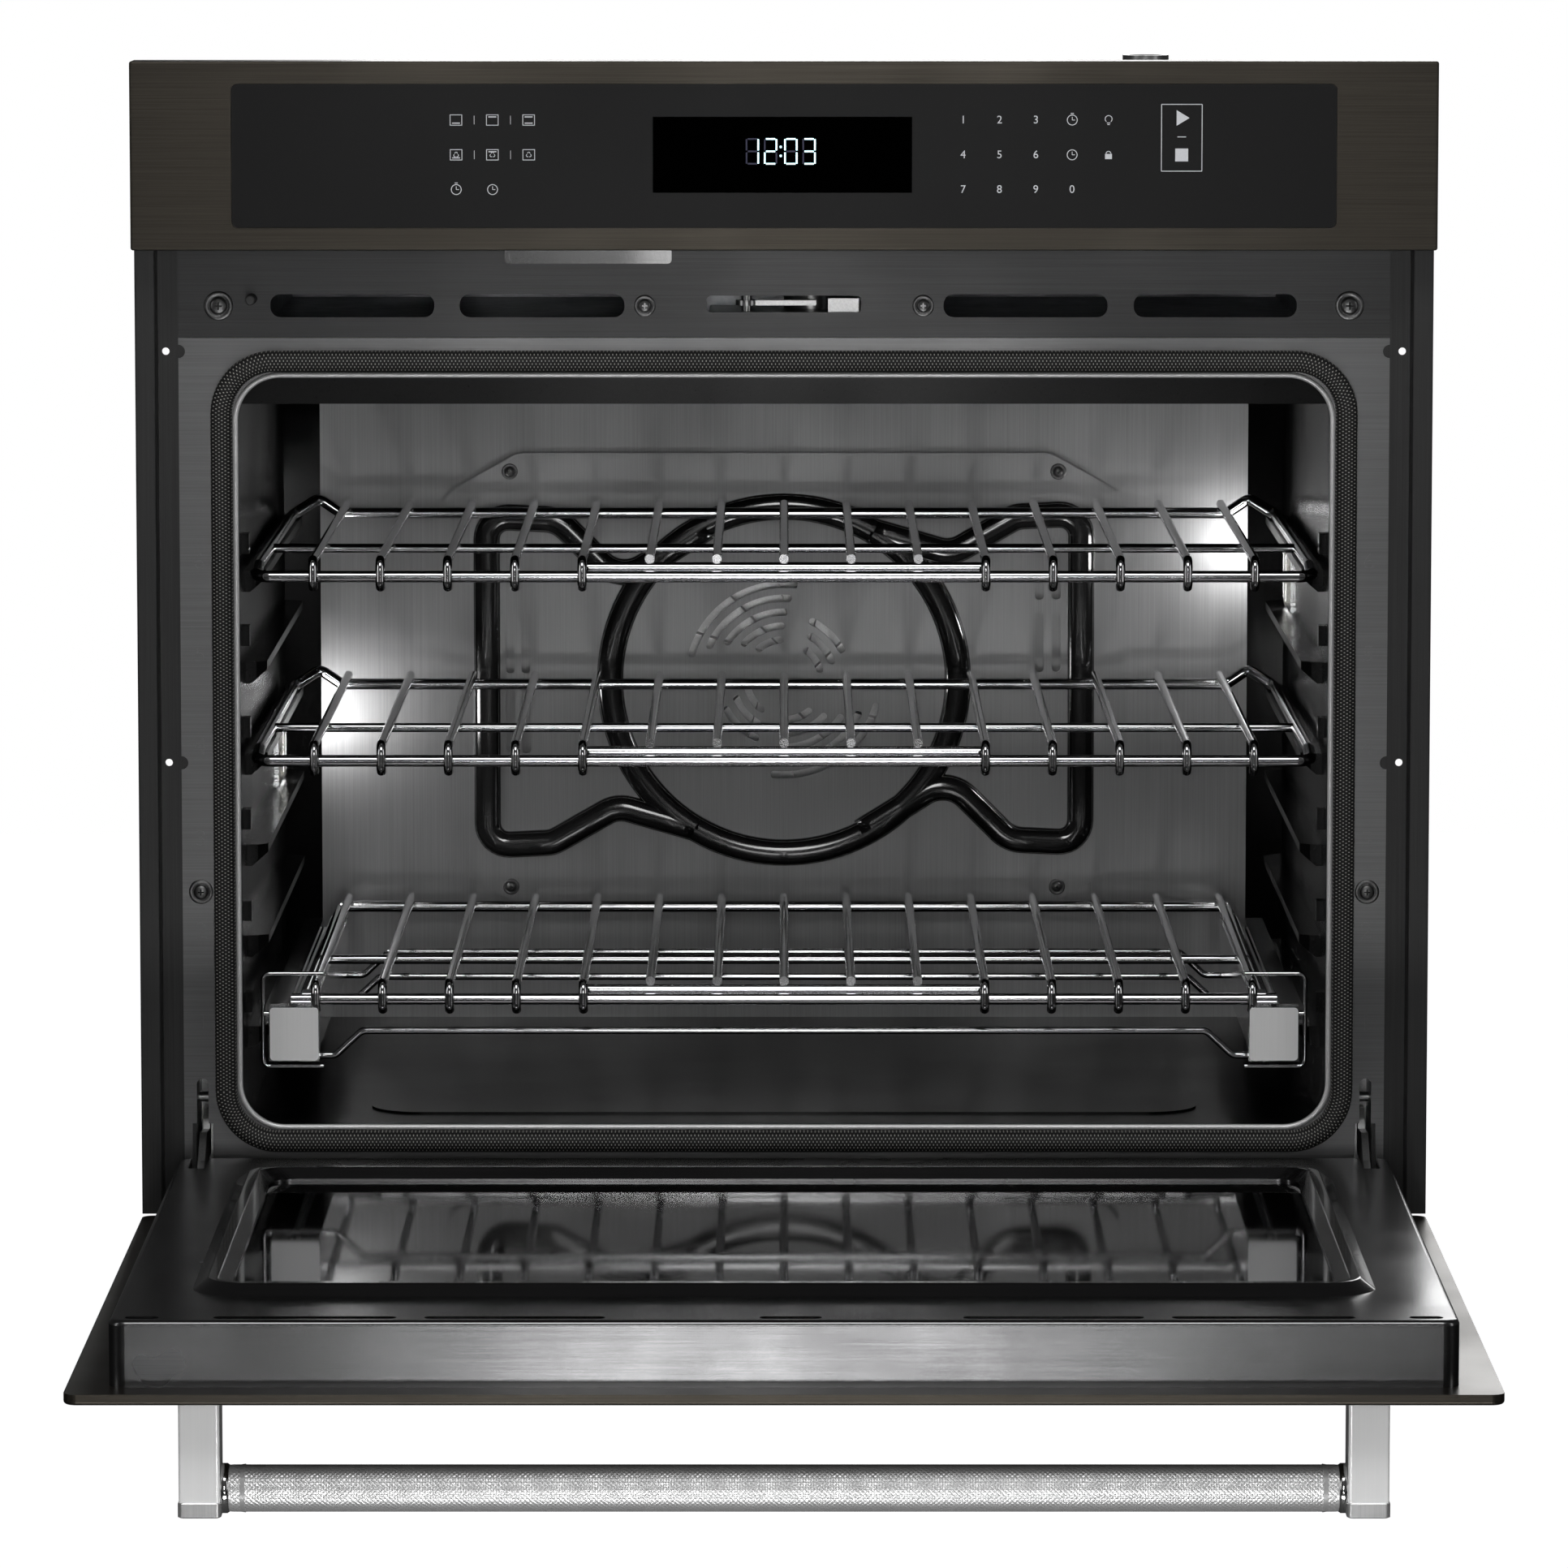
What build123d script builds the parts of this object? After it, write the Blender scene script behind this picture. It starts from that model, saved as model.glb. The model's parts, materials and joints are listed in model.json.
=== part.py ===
from build123d import *
import os
from math import cos, radians, sin

# Built-in single wall oven with a drop-down door, shown with the door open.
# Frame: +X right, +Y to the back, +Z up. Origin: centre of the underside of the chassis base.
# All sizes are in millimetres.

# ---- outer sizes
PANEL_WIDTH = 762.0        # control panel, door skin and trims
PANEL_HEIGHT = 110.0
PANEL_TOP = 722.0
PANEL_DEPTH = 27.0
CHASSIS_WIDTH = 708.0
CHASSIS_HEIGHT = 690.0
CHASSIS_BACK = 295.0
CABINET_FACE = -295.0      # the plane that lies on the front of the cabinet
PANEL_FRONT = -347.0
SHEET = 1.2                # casing sheet
LINER = 1.5                # enamelled cavity sheet
SEAM = 0.3                 # gap between neighbouring sheet parts

# ---- front frame and trims
FRAME_SHEET = 2.0
FRAME_OVERLAP = 3.0        # from the casing's side to the front frame's edge
FRAME_WIDTH = CHASSIS_WIDTH + 2 * FRAME_OVERLAP
FRAME_BOTTOM = 24.0
FRAME_TOP = 558.0
FRAME_FRONT = CABINET_FACE - 2 * FRAME_SHEET
FRAME_BACK = FRAME_FRONT + FRAME_SHEET
OPENING_WIDTH = 644.0
OPENING_BOTTOM = 89.5
OPENING_TOP = 534.5
OPENING_RADIUS = 25.0
TRIM_FACE = PANEL_FRONT + PANEL_DEPTH
TRIM_BAR = 12.0            # width of the raised bar of a side trim
TRIM_BOTTOM = 39.0
BOTTOM_TRIM_LOW = -15.0
BOTTOM_TRIM_TOP = 22.0
MOUNT_INSET = 16.5         # from the trim's outer edge to the cabinet screws
MOUNT_SPACING_X = PANEL_WIDTH - 2 * MOUNT_INSET
MOUNT_SPACING_Z = 244.0
MOUNT_CENTRE_Z = 428.0
MOUNT_HOLE_R = 2.2
NOTCH_R = 4.0

# ---- cavity
CAVITY_WIDTH = OPENING_WIDTH
CAVITY_FLOOR = 85.0
CAVITY_CEILING = 540.0
CAVITY_BACK = 182.0
CORNER_CHAMFER = 22.0
FRONT_LIP = 21.0
RIB_REACH = 12.5
RIB_FRONT = -245.0
RIB_BACK = 150.0
GUIDE_TOP_LEVEL = 425.0
GUIDE_PITCH = 55.0
GUIDE_LEVELS = 6
INSULATION = 16.0
RIB_HEIGHT = 13.0

# ---- gasket
GASKET_WIDTH = 12.5
GASKET_HEIGHT = 11.5
GASKET_OUTSET = 16.0       # from the opening's edge to the gasket's outer edge

# ---- racks
BAR_R = 3.8
ROD_R = 3.5
WIRE_R = 2.8
WIRE_COUNT = 15
SHORT_WIRES = 5
RACK_SIDE_GAP = 8.5        # from the cavity's wall to a side rod's centre line
RACK_HALF = CAVITY_WIDTH / 2 - RACK_SIDE_GAP
RACK_FRONT = -279.0
RACK_DEPTH = 398.0
MID_BAR_SETBACK = 141.0
WELD = 0.8                 # how far two crossing wires sink into each other
WIRE_MARGIN = 34.2         # from a side rod to the outermost wire
WIRE_PITCH = 2 * (RACK_HALF - WIRE_MARGIN) / (WIRE_COUNT - 1)
ROD_DROP = WIRE_R + ROD_R - WELD
BAR_DROP = 10.0            # front bar lies this far below the wires
RAIL_HALF = 118.0
REST_CLEARANCE = 0.3

# ---- roll-out glides
RAIL_SIDE_GAP = 15.0       # from the cavity's wall to the fixed rail
RAIL_DEPTH = 11.5
SLIDE_STEP = 5.0           # from the middle member's outer side to the sliding member's
MEMBER_DEPTH = 11.5
RAIL_OUTER = CAVITY_WIDTH / 2 - RAIL_SIDE_GAP
SLIDE_OUTER = RAIL_OUTER - RAIL_DEPTH
MEMBER_OUTER = SLIDE_OUTER - SLIDE_STEP
MEMBER_INNER = MEMBER_OUTER - MEMBER_DEPTH
GLIDE_BELOW_GUIDE = 13.7
GLIDE_HEIGHT = 32.2
ROLL_OUT_ABOVE_GLIDE = 12.8
GLIDE_FRONT = -281.0
GLIDE_BACK = 112.0
GLIDE_GAP = 0.6
GUIDE_FLANGE = 9.0

# ---- door, in its open position
SKIN_THICK = 6.0
LINER_DEPTH = 36.0
AXIS_Z = 52.0
OUTER_TO_AXIS = 21.0       # from the door's outer face to the hinge axis
DOOR_GAP = 0.5             # between the closed door and the gasket
AXIS_Y = FRAME_FRONT - GASKET_HEIGHT - DOOR_GAP - (SKIN_THICK + LINER_DEPTH - OUTER_TO_AXIS)
DOOR_BELOW_AXIS = 18.0
DOOR_ABOVE_AXIS = 555.0
LINER_BELOW_AXIS = 10.0
LINER_ABOVE_AXIS = 535.0
LINER_OVERLAP = 1.5        # from the front frame's edge to the liner's
LINER_WIDTH = FRAME_WIDTH + 2 * LINER_OVERLAP
SKIN_RADIUS = 7.0
WINDOW_INSET = 2.0         # from the opening's edge to the ring round the inner glass
WINDOW_WIDTH = OPENING_WIDTH - 2 * WINDOW_INSET
WINDOW_FROM_AXIS = 48.0
WINDOW_LENGTH = 413.0
RING_WIDTH = 20.0
RING_HEIGHT = 6.0
GLASS = 4.0
OUTER_WINDOW_INSET = 40.0  # from the ring's outer edge to the outer glass opening
OUTER_WINDOW_WIDTH = WINDOW_WIDTH - 2 * OUTER_WINDOW_INSET
OUTER_WINDOW_LENGTH = 300.0

# ---- handle
HANDLE_HALF = 322.0
POST_WIDTH = 22.0
POST_LENGTH = 66.0
POST_THICK = 27.0
BAR_STANDOFF = 52.0
HANDLE_FROM_TOP = 40.0
GRIP_R = 12.4

# ---- hinges
HINGE_INSET = 11.0         # from the front frame's edge
HINGE_X = FRAME_WIDTH / 2 - HINGE_INSET
ARM_THICK = 4.0
PIN_R = 3.0
FIT = 0.05                 # radial clearance of a turning fit
EYE_R = 9.0
HINGE_TOP_GAP = 7.0        # from the liner's inner face to the top of the hinge channel

# ---- convection system
FAN_Z = 307.0
CHAMBER_R = 135.0
CHAMBER_DEPTH = 36.0
FAN_R = 74.0
SHAFT_R = 4.0
BAFFLE_STANDOFF = 12.0
BAFFLE_HALF = 220.0
BEAD_R = 7.5
BEAD_RING_R = 112.5
BEAD_HEIGHT = 5.0
WING_X = 192.0

# ---- cooling blower
BLOWER_Y = -20.0
BLOWER_R = 78.0
BLOWER_LOW = 603.0
BLOWER_HEIGHT = 58.0
WHEEL_R = 63.0

# values that follow from the ones above
PANEL_BOTTOM = PANEL_TOP - PANEL_HEIGHT
CHASSIS_HALF = CHASSIS_WIDTH / 2
CAVITY_HALF = CAVITY_WIDTH / 2
DOOR_OUTER = AXIS_Z - OUTER_TO_AXIS
SKIN_TOP = DOOR_OUTER + SKIN_THICK
LINER_TOP = SKIN_TOP + LINER_DEPTH
DOOR_FAR = AXIS_Y + DOOR_BELOW_AXIS
DOOR_NEAR = AXIS_Y - DOOR_ABOVE_AXIS
LINER_FAR = AXIS_Y + LINER_BELOW_AXIS
LINER_NEAR = AXIS_Y - LINER_ABOVE_AXIS
WINDOW_Y = AXIS_Y - WINDOW_FROM_AXIS - WINDOW_LENGTH / 2
HANDLE_Y = DOOR_NEAR + HANDLE_FROM_TOP
HANDLE_Z = DOOR_OUTER - BAR_STANDOFF
GUIDE_TOPS = [
    GUIDE_TOP_LEVEL - i * GUIDE_PITCH - ROD_DROP - ROD_R - REST_CLEARANCE for i in range(GUIDE_LEVELS)
]
GLIDE_LOW = GUIDE_TOPS[-1] - GLIDE_BELOW_GUIDE
GLIDE_TOP = GLIDE_LOW + GLIDE_HEIGHT
ROLL_OUT_LEVEL = GLIDE_TOP + ROLL_OUT_ABOVE_GLIDE
VENT_Z = PANEL_BOTTOM - 35.0
LATCH_X = -22.0
LATCH_Y = -283.5
LATCH_Z = VENT_Z + 1.0
SWITCH_X = -313.5
SWITCH_Z = VENT_Z + 4.0
RACK_BACK = RACK_FRONT + RACK_DEPTH
VENT_SLOTS = [(-302.5, -206.0), (-191.0, -94.0), (94.0, 190.5), (206.0, 302.0)]
DOOR_SLOTS = [(-303.0, -206.0), (-191.0, -95.0), (-13.0, 20.0), (95.0, 191.0), (206.0, 303.0)]


def block(x, y, z, mode=Mode.ADD):
    """Add or cut a box given by its limits along each axis."""
    sizes = [abs(b - a) for a, b in (x, y, z)]
    middle = tuple((a + b) / 2 for a, b in (x, y, z))
    with Locations(middle):
        Box(*sizes, mode=mode)


def rod(start, end, radius, mode=Mode.ADD):
    """Add or cut a round bar between two points."""
    a, b = Vector(*start), Vector(*end)
    place = Plane(origin=(a + b) * 0.5, z_dir=b - a)
    with Locations(place):
        Cylinder(radius, (b - a).length, mode=mode)


def bent_wire(points, bend, radius, close=False):
    """Add a round wire along straight runs joined by tangent arcs."""
    with BuildLine(mode=Mode.PRIVATE) as route:
        FilletPolyline(*points, radius=bend, close=close)
    start = route.wire() % 0.5 if close else route.wire() % 0
    origin = route.wire() @ 0.5 if close else route.wire() @ 0
    with BuildSketch(Plane(origin=origin, z_dir=start), mode=Mode.PRIVATE) as section:
        Circle(radius)
    sweep(sections=section.sketch.face(), path=route.wire())


def rounded(x, z, radius):
    """Return the sketch-plane centre and size of a rounded rectangle from its limits."""
    return (x[0] + x[1]) / 2, (z[0] + z[1]) / 2, abs(x[1] - x[0]), abs(z[1] - z[0]), radius


def wall_cut(x, y, z, radius):
    """Cut a rounded opening, given in X and Z, through a wall that lies across Y."""
    cx, cz, width, height, corner = rounded(x, z, radius)
    with BuildSketch(Plane(origin=(0, y[0], 0), x_dir=(1, 0, 0), z_dir=(0, -1, 0)), mode=Mode.PRIVATE) as hole:
        with Locations((cx, cz)):
            RectangleRounded(width, height, corner)
    extrude(hole.sketch, amount=-(y[1] - y[0]), mode=Mode.SUBTRACT)


def floor_cut(x, y, z, radius):
    """Cut a rounded opening, given in X and Y, through a wall that lies across Z."""
    cx, cy, width, length, corner = rounded(x, y, radius)
    with BuildSketch(Plane.XY.offset(z[0]), mode=Mode.PRIVATE) as hole:
        with Locations((cx, cy)):
            RectangleRounded(width, length, corner)
    extrude(hole.sketch, amount=z[1] - z[0], mode=Mode.SUBTRACT)


def slab(x, y, z, radius, mode=Mode.ADD):
    """Add or cut a flat plate across Z with rounded corners in plan."""
    cx, cy, width, length, corner = rounded(x, y, radius)
    with BuildSketch(Plane.XY.offset(z[0]), mode=Mode.PRIVATE) as plan:
        with Locations((cx, cy)):
            RectangleRounded(width, length, corner)
    extrude(plan.sketch, amount=z[1] - z[0], mode=mode)


def upright(x, y, z, radius, mode=Mode.ADD):
    """Add or cut a plate across Y with rounded corners in front view."""
    cx, cz, width, height, corner = rounded(x, z, radius)
    with BuildSketch(Plane(origin=(0, y[0], 0), x_dir=(1, 0, 0), z_dir=(0, -1, 0)), mode=Mode.PRIVATE) as front:
        with Locations((cx, cz)):
            RectangleRounded(width, height, corner)
    extrude(front.sketch, amount=-(y[1] - y[0]), mode=mode)


def save(name, builder):
    """Label a finished piece and write it to its own STEP file."""
    builder.part.label = name
    export_step(builder.part, f"parts/{name}.step")


os.makedirs("parts", exist_ok=True)

# ==== casing =============================================================================
with BuildPart() as chassis_base:
    block((-CHASSIS_HALF, CHASSIS_HALF), (CABINET_FACE, CHASSIS_BACK), (0, SHEET))
    inner = CHASSIS_HALF - SHEET - SEAM
    block((-inner, inner), (CABINET_FACE, CABINET_FACE + SHEET), (0, FRAME_BOTTOM - SEAM))
    for side in (-1, 1):
        edge = side * (CHASSIS_HALF - SHEET)
        block((edge - side * 30, edge), (CABINET_FACE, CHASSIS_BACK - 2 * (SHEET + SEAM)), (0, 8))
        block((edge - side * (30 - SHEET), edge - side * SHEET), (CABINET_FACE, CHASSIS_BACK), (SHEET, 8),
              Mode.SUBTRACT)
    with Locations((0, -120, SHEET / 2), (0, 150, SHEET / 2)):
        with GridLocations(60, 22, 8, 3):
            Box(44, 8, SHEET * 3, mode=Mode.SUBTRACT)
save("chassis_base", chassis_base)

for name, side in (("side_panel_left", -1), ("side_panel_right", 1)):
    outer = side * CHASSIS_HALF
    with BuildPart() as side_panel:
        back = CHASSIS_BACK - SHEET - SEAM
        block((outer - side * SHEET, outer), (CABINET_FACE, back), (SHEET, CHASSIS_HEIGHT - SHEET))
        block((outer - side * 14, outer), (back - SHEET, back), (SHEET, CHASSIS_HEIGHT - SHEET))
        for row in range(5):
            slot = 60 + row * 24
            block((outer - side * 3 * SHEET, outer + side), (slot, slot + 12), (600, 660), Mode.SUBTRACT)
        for height in (160, 420):
            for shift in (-200, 150):
                rod((outer - side * SHEET, shift, height), (outer - side * 2.2 * SHEET, shift, height), 24)
    save(name, side_panel)

with BuildPart() as rear_panel:
    block((-CHASSIS_HALF, CHASSIS_HALF), (CHASSIS_BACK - SHEET, CHASSIS_BACK), (SHEET, CHASSIS_HEIGHT - SHEET))
    for row in range(5):
        for centre in (-150, 150):
            for base in (120, 570):
                slot = base + row * 16
                width = (centre - 90, centre + 90)
                block(width, (CHASSIS_BACK - 4, CHASSIS_BACK + 4), (slot, slot + 5), Mode.SUBTRACT)
                block(width, (CHASSIS_BACK - 3, CHASSIS_BACK - SHEET / 2), (slot + 5, slot + 8))
save("rear_panel", rear_panel)

GLAND_X = 235.0
GLAND_Y = 240.0
GLAND_BORE_R = 11.0
with BuildPart() as top_cover:
    block((-CHASSIS_HALF, CHASSIS_HALF), (CABINET_FACE, CHASSIS_BACK), (CHASSIS_HEIGHT - SHEET, CHASSIS_HEIGHT))
    with Locations((0, 150, CHASSIS_HEIGHT)):
        with GridLocations(34, 40, 8, 3):
            Box(22, 26, SHEET * 4, mode=Mode.SUBTRACT)
    for shift in (-170, 40):
        stiffener = CHASSIS_HALF - 40
        block((-stiffener, stiffener), (shift - 6, shift + 6), (CHASSIS_HEIGHT, CHASSIS_HEIGHT + 3))
    with Locations((GLAND_X, GLAND_Y, CHASSIS_HEIGHT)):
        Cylinder(GLAND_BORE_R + 3, SHEET * 4, mode=Mode.SUBTRACT)
save("top_cover", top_cover)

# ==== trims and front frame ================================================================
MOUNT_ROWS = (MOUNT_CENTRE_Z - MOUNT_SPACING_Z / 2, MOUNT_CENTRE_Z + MOUNT_SPACING_Z / 2)
for name, side in (("side_trim_left", -1), ("side_trim_right", 1)):
    outer = side * PANEL_WIDTH / 2
    inner = outer - side * TRIM_BAR
    height = (TRIM_BOTTOM, PANEL_BOTTOM - SEAM)
    with BuildPart() as side_trim:
        block((inner, outer), (TRIM_FACE, CABINET_FACE), height)
        block((inner + side * LINER, outer - side * LINER), (TRIM_FACE + LINER, CABINET_FACE), height,
              Mode.SUBTRACT)
        block((side * (FRAME_WIDTH / 2 - 7), outer), (FRAME_BACK, CABINET_FACE), height)
        edges = side_trim.edges().filter_by(Axis.Z).group_by(Axis.Y)[0]
        fillet(edges, 1.0)
        for row in MOUNT_ROWS:
            hole_x = side * MOUNT_SPACING_X / 2
            rod((hole_x, FRAME_BACK - 1, row), (hole_x, CABINET_FACE + 1, row), MOUNT_HOLE_R, Mode.SUBTRACT)
    save(name, side_trim)

with BuildPart() as bottom_trim:
    half = PANEL_WIDTH / 2
    block((-half, half), (TRIM_FACE, CABINET_FACE), (BOTTOM_TRIM_LOW, BOTTOM_TRIM_TOP))
    block((-half + LINER, half - LINER), (TRIM_FACE + LINER, CABINET_FACE - FRAME_SHEET),
          (BOTTOM_TRIM_LOW - 1, BOTTOM_TRIM_TOP - LINER), Mode.SUBTRACT)
    for i in range(-4, 5):
        wall_cut((i * 74 - 30, i * 74 + 30), (TRIM_FACE - 1, TRIM_FACE + 3), (0, 7), 3.4)
save("bottom_trim", bottom_trim)

FRAME_SCREW_X = HINGE_X
FRAME_SCREW_Z = 229.0
with BuildPart() as front_frame:
    half = FRAME_WIDTH / 2
    block((-half, half), (FRAME_FRONT, FRAME_BACK), (FRAME_BOTTOM, FRAME_TOP))
    wall_cut((-OPENING_WIDTH / 2, OPENING_WIDTH / 2), (FRAME_FRONT - 1, FRAME_BACK + 1),
             (OPENING_BOTTOM, OPENING_TOP), OPENING_RADIUS)
    rim = front_frame.edges().filter_by(
        lambda e: abs(e.center().Y - FRAME_FRONT) < 0.01 and abs(e.center().X) < OPENING_WIDTH / 2 + 1
        and OPENING_BOTTOM - 1 < e.center().Z < OPENING_TOP + 1)
    fillet(rim, 1.4)
    through = (FRAME_FRONT - 1, FRAME_BACK + 1)
    for side in (-1, 1):
        x = side * HINGE_X
        block((x - 6.3, x + 6.3), through, (AXIS_Z + 6, AXIS_Z + 38), Mode.SUBTRACT)
        wall_cut((x - 3.5, x + 3.5), through, (AXIS_Z + 28, AXIS_Z + 65), 3.4)
        for row in MOUNT_ROWS:
            rod((side * half, through[0], row), (side * half, through[1], row), NOTCH_R, Mode.SUBTRACT)
save("front_frame", front_frame)

with BuildPart() as vent_panel:
    half = FRAME_WIDTH / 2
    block((-half, half), (FRAME_FRONT, FRAME_BACK), (FRAME_TOP + SEAM, PANEL_BOTTOM + 24))
    for slot in VENT_SLOTS:
        wall_cut(slot, (FRAME_FRONT - 1, FRAME_BACK + 1), (VENT_Z - 6.8, VENT_Z + 6.8), 6.0)
    wall_cut((-45.5, 45.5), (FRAME_FRONT - 1, FRAME_BACK + 1), (LATCH_Z - 4.9, LATCH_Z + 4.9), 2.5)
    rod((SWITCH_X, FRAME_FRONT - 1, SWITCH_Z), (SWITCH_X, FRAME_BACK + 1, SWITCH_Z), 3.4, Mode.SUBTRACT)
save("vent_panel", vent_panel)

# A pull-out data tab hangs under the control panel.
with BuildPart() as data_tab:
    upright((-164, -66), (FRAME_FRONT - 14, FRAME_FRONT - SEAM), (PANEL_BOTTOM - 9.5, PANEL_BOTTOM - SEAM), 2.4)
    upright((-161.5, -68.5), (FRAME_FRONT - 15, FRAME_FRONT - 12), (PANEL_BOTTOM - 7.5, PANEL_BOTTOM - 2), 1.6,
            Mode.SUBTRACT)
save("data_tab", data_tab)

# ==== control panel ========================================================================
GLASS_MARGIN = 59.0        # from the panel's side to the glass
GLASS_HALF = PANEL_WIDTH / 2 - GLASS_MARGIN
GLASS_LOW = PANEL_BOTTOM + 13
GLASS_HIGH = PANEL_BOTTOM + 97
GLASS_DEPTH = 3.0
DISPLAY_DEPTH = 9.0
DISPLAY = ((-76.4, 74.6), (PANEL_BOTTOM + 33.6, PANEL_BOTTOM + 77.8))
with BuildPart() as control_bezel:
    half = PANEL_WIDTH / 2
    upright((-half, half), (PANEL_FRONT, TRIM_FACE), (PANEL_BOTTOM, PANEL_TOP), 1.5)
    front_edges = control_bezel.edges().group_by(Axis.Y)[0]
    fillet(front_edges, 1.2)
    block((-half + 2, half - 2), (PANEL_FRONT + GLASS_DEPTH + 2, TRIM_FACE + 1),
          (PANEL_BOTTOM + 2, PANEL_TOP - 2), Mode.SUBTRACT)
    wall_cut((-GLASS_HALF, GLASS_HALF), (PANEL_FRONT - 1, PANEL_FRONT + GLASS_DEPTH), (GLASS_LOW, GLASS_HIGH), 4.0)
    wall_cut((-GLASS_HALF + 8, GLASS_HALF - 8), (PANEL_FRONT, PANEL_FRONT + 12), (GLASS_LOW + 8, GLASS_HIGH - 8), 3.0)
    for side in (-1, 1):
        block((side * 300, side * 340), (TRIM_FACE - 6, CABINET_FACE), (PANEL_BOTTOM + 26, PANEL_BOTTOM + 28))
        block((side * 300, side * 340), (TRIM_FACE - 8, TRIM_FACE - 6), (PANEL_BOTTOM + 2, PANEL_BOTTOM + 28))
save("control_bezel", control_bezel)

with BuildPart() as control_glass:
    upright((-GLASS_HALF + SEAM, GLASS_HALF - SEAM), (PANEL_FRONT + 0.4, PANEL_FRONT + GLASS_DEPTH),
            (GLASS_LOW + SEAM, GLASS_HIGH - SEAM), 3.7)
save("control_glass", control_glass)

with BuildPart() as display_module:
    back_y = PANEL_FRONT + GLASS_DEPTH + SEAM
    upright((DISPLAY[0][0] - 3, DISPLAY[0][1] + 3), (back_y, back_y + DISPLAY_DEPTH),
            (DISPLAY[1][0] - 3, DISPLAY[1][1] + 3), 1.5)
save("display_module", display_module)

with BuildPart() as control_board:
    back_y = PANEL_FRONT + GLASS_DEPTH + DISPLAY_DEPTH + 2 * SEAM
    board_half = GLASS_HALF - 37
    middle = (GLASS_LOW + GLASS_HIGH) / 2
    block((-board_half, board_half), (back_y, back_y + 1.6), (GLASS_LOW + 10, GLASS_HIGH - 10))
    for x, width, height in ((-210, 34, 18), (-130, 20, 24), (120, 44, 20), (190, 26, 26), (245, 18, 14)):
        block((x - width / 2, x + width / 2), (back_y + 1.6, back_y + 9), (middle - height / 2, middle + height / 2))
save("control_board", control_board)

# ==== cavity ===============================================================================
with BuildPart() as cavity_floor:
    block((-CAVITY_HALF, CAVITY_HALF), (FRAME_BACK, CAVITY_BACK + LINER), (CAVITY_FLOOR - LINER, CAVITY_FLOOR))
    for side in (-1, 1):
        with BuildSketch(Plane.XY.offset(CAVITY_FLOOR - LINER - 1), mode=Mode.PRIVATE) as corner:
            with BuildLine():
                Polyline((side * (CAVITY_HALF + 1), CAVITY_BACK + LINER + 1),
                         (side * (CAVITY_HALF + 1), CAVITY_BACK - CORNER_CHAMFER - 1 + LINER),
                         (side * (CAVITY_HALF - CORNER_CHAMFER - 1 + LINER), CAVITY_BACK + LINER + 1), close=True)
            make_face()
        extrude(corner.sketch, amount=LINER + 2, mode=Mode.SUBTRACT)
    slab((-250, 250), (-230, 130), (CAVITY_FLOOR, CAVITY_FLOOR + 1.2), 30)
    block((-CAVITY_HALF, CAVITY_HALF), (FRAME_BACK, FRAME_BACK + LINER), (CAVITY_FLOOR - LINER, OPENING_BOTTOM))
save("cavity_floor", cavity_floor)

with BuildPart() as cavity_ceiling:
    sheet = (CAVITY_CEILING, CAVITY_CEILING + LINER)
    block((-CAVITY_HALF, CAVITY_HALF), (FRAME_BACK, CAVITY_BACK - CORNER_CHAMFER), sheet)
    block((-CAVITY_HALF + CORNER_CHAMFER, CAVITY_HALF - CORNER_CHAMFER), (FRAME_BACK, CAVITY_BACK + LINER), sheet)
    block((-CAVITY_HALF, CAVITY_HALF), (FRAME_BACK, FRAME_BACK + LINER), (CAVITY_CEILING - FRONT_LIP, sheet[1]))
save("cavity_ceiling", cavity_ceiling)

LAMP_Y = 70.0
LAMP_LENGTH = 84.0
LAMP_HEIGHT = GUIDE_PITCH - RIB_HEIGHT - 4.0
LAMP_Z = {
    -1: (GUIDE_TOPS[2] + GUIDE_TOPS[3] - RIB_HEIGHT) / 2,
    1: (GUIDE_TOPS[0] + GUIDE_TOPS[1] - RIB_HEIGHT) / 2,
}
GUIDE_FACE = Plane(origin=(0, RIB_FRONT, 0), x_dir=(1, 0, 0), z_dir=(0, -1, 0))
for name, side in (("cavity_wall_left", -1), ("cavity_wall_right", 1)):
    face = side * CAVITY_HALF
    with BuildPart() as cavity_wall:
        with BuildSketch(Plane.XY.offset(CAVITY_FLOOR)):
            with BuildLine():
                Polyline((face, FRAME_BACK), (face + side * LINER, FRAME_BACK),
                         (face + side * LINER, CAVITY_BACK - CORNER_CHAMFER + LINER / 2),
                         (face - side * (CORNER_CHAMFER - LINER / 2), CAVITY_BACK + LINER),
                         (face - side * CORNER_CHAMFER, CAVITY_BACK), (face, CAVITY_BACK - CORNER_CHAMFER),
                         close=True)
            make_face()
        extrude(amount=CAVITY_CEILING - CAVITY_FLOOR)
        for top in GUIDE_TOPS:
            tip = face - side * RIB_REACH
            root = face + side * 0.5
            with BuildSketch(GUIDE_FACE, mode=Mode.PRIVATE) as rib:
                with BuildLine():
                    Polyline((root, top), (tip, top), (tip, top - 5), (face - side * 3, top - RIB_HEIGHT),
                             (root, top - RIB_HEIGHT), close=True)
                make_face()
            extrude(rib.sketch, amount=-(RIB_BACK - RIB_FRONT))
            block((face - side * 4, root), (RIB_FRONT - 25, RIB_FRONT - 13), (top + 12, top + 24))
        tips = cavity_wall.edges().filter_by(Axis.Z).filter_by(
            lambda e: abs(abs(e.center().X) - (CAVITY_HALF - RIB_REACH)) < 0.1 and e.length < 6)
        chamfer(tips, 6.0)
        block((face - side, face + side * 3), (LAMP_Y - LAMP_LENGTH / 2, LAMP_Y + LAMP_LENGTH / 2),
              (LAMP_Z[side] - LAMP_HEIGHT / 2, LAMP_Z[side] + LAMP_HEIGHT / 2), Mode.SUBTRACT)
    save(name, cavity_wall)

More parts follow.
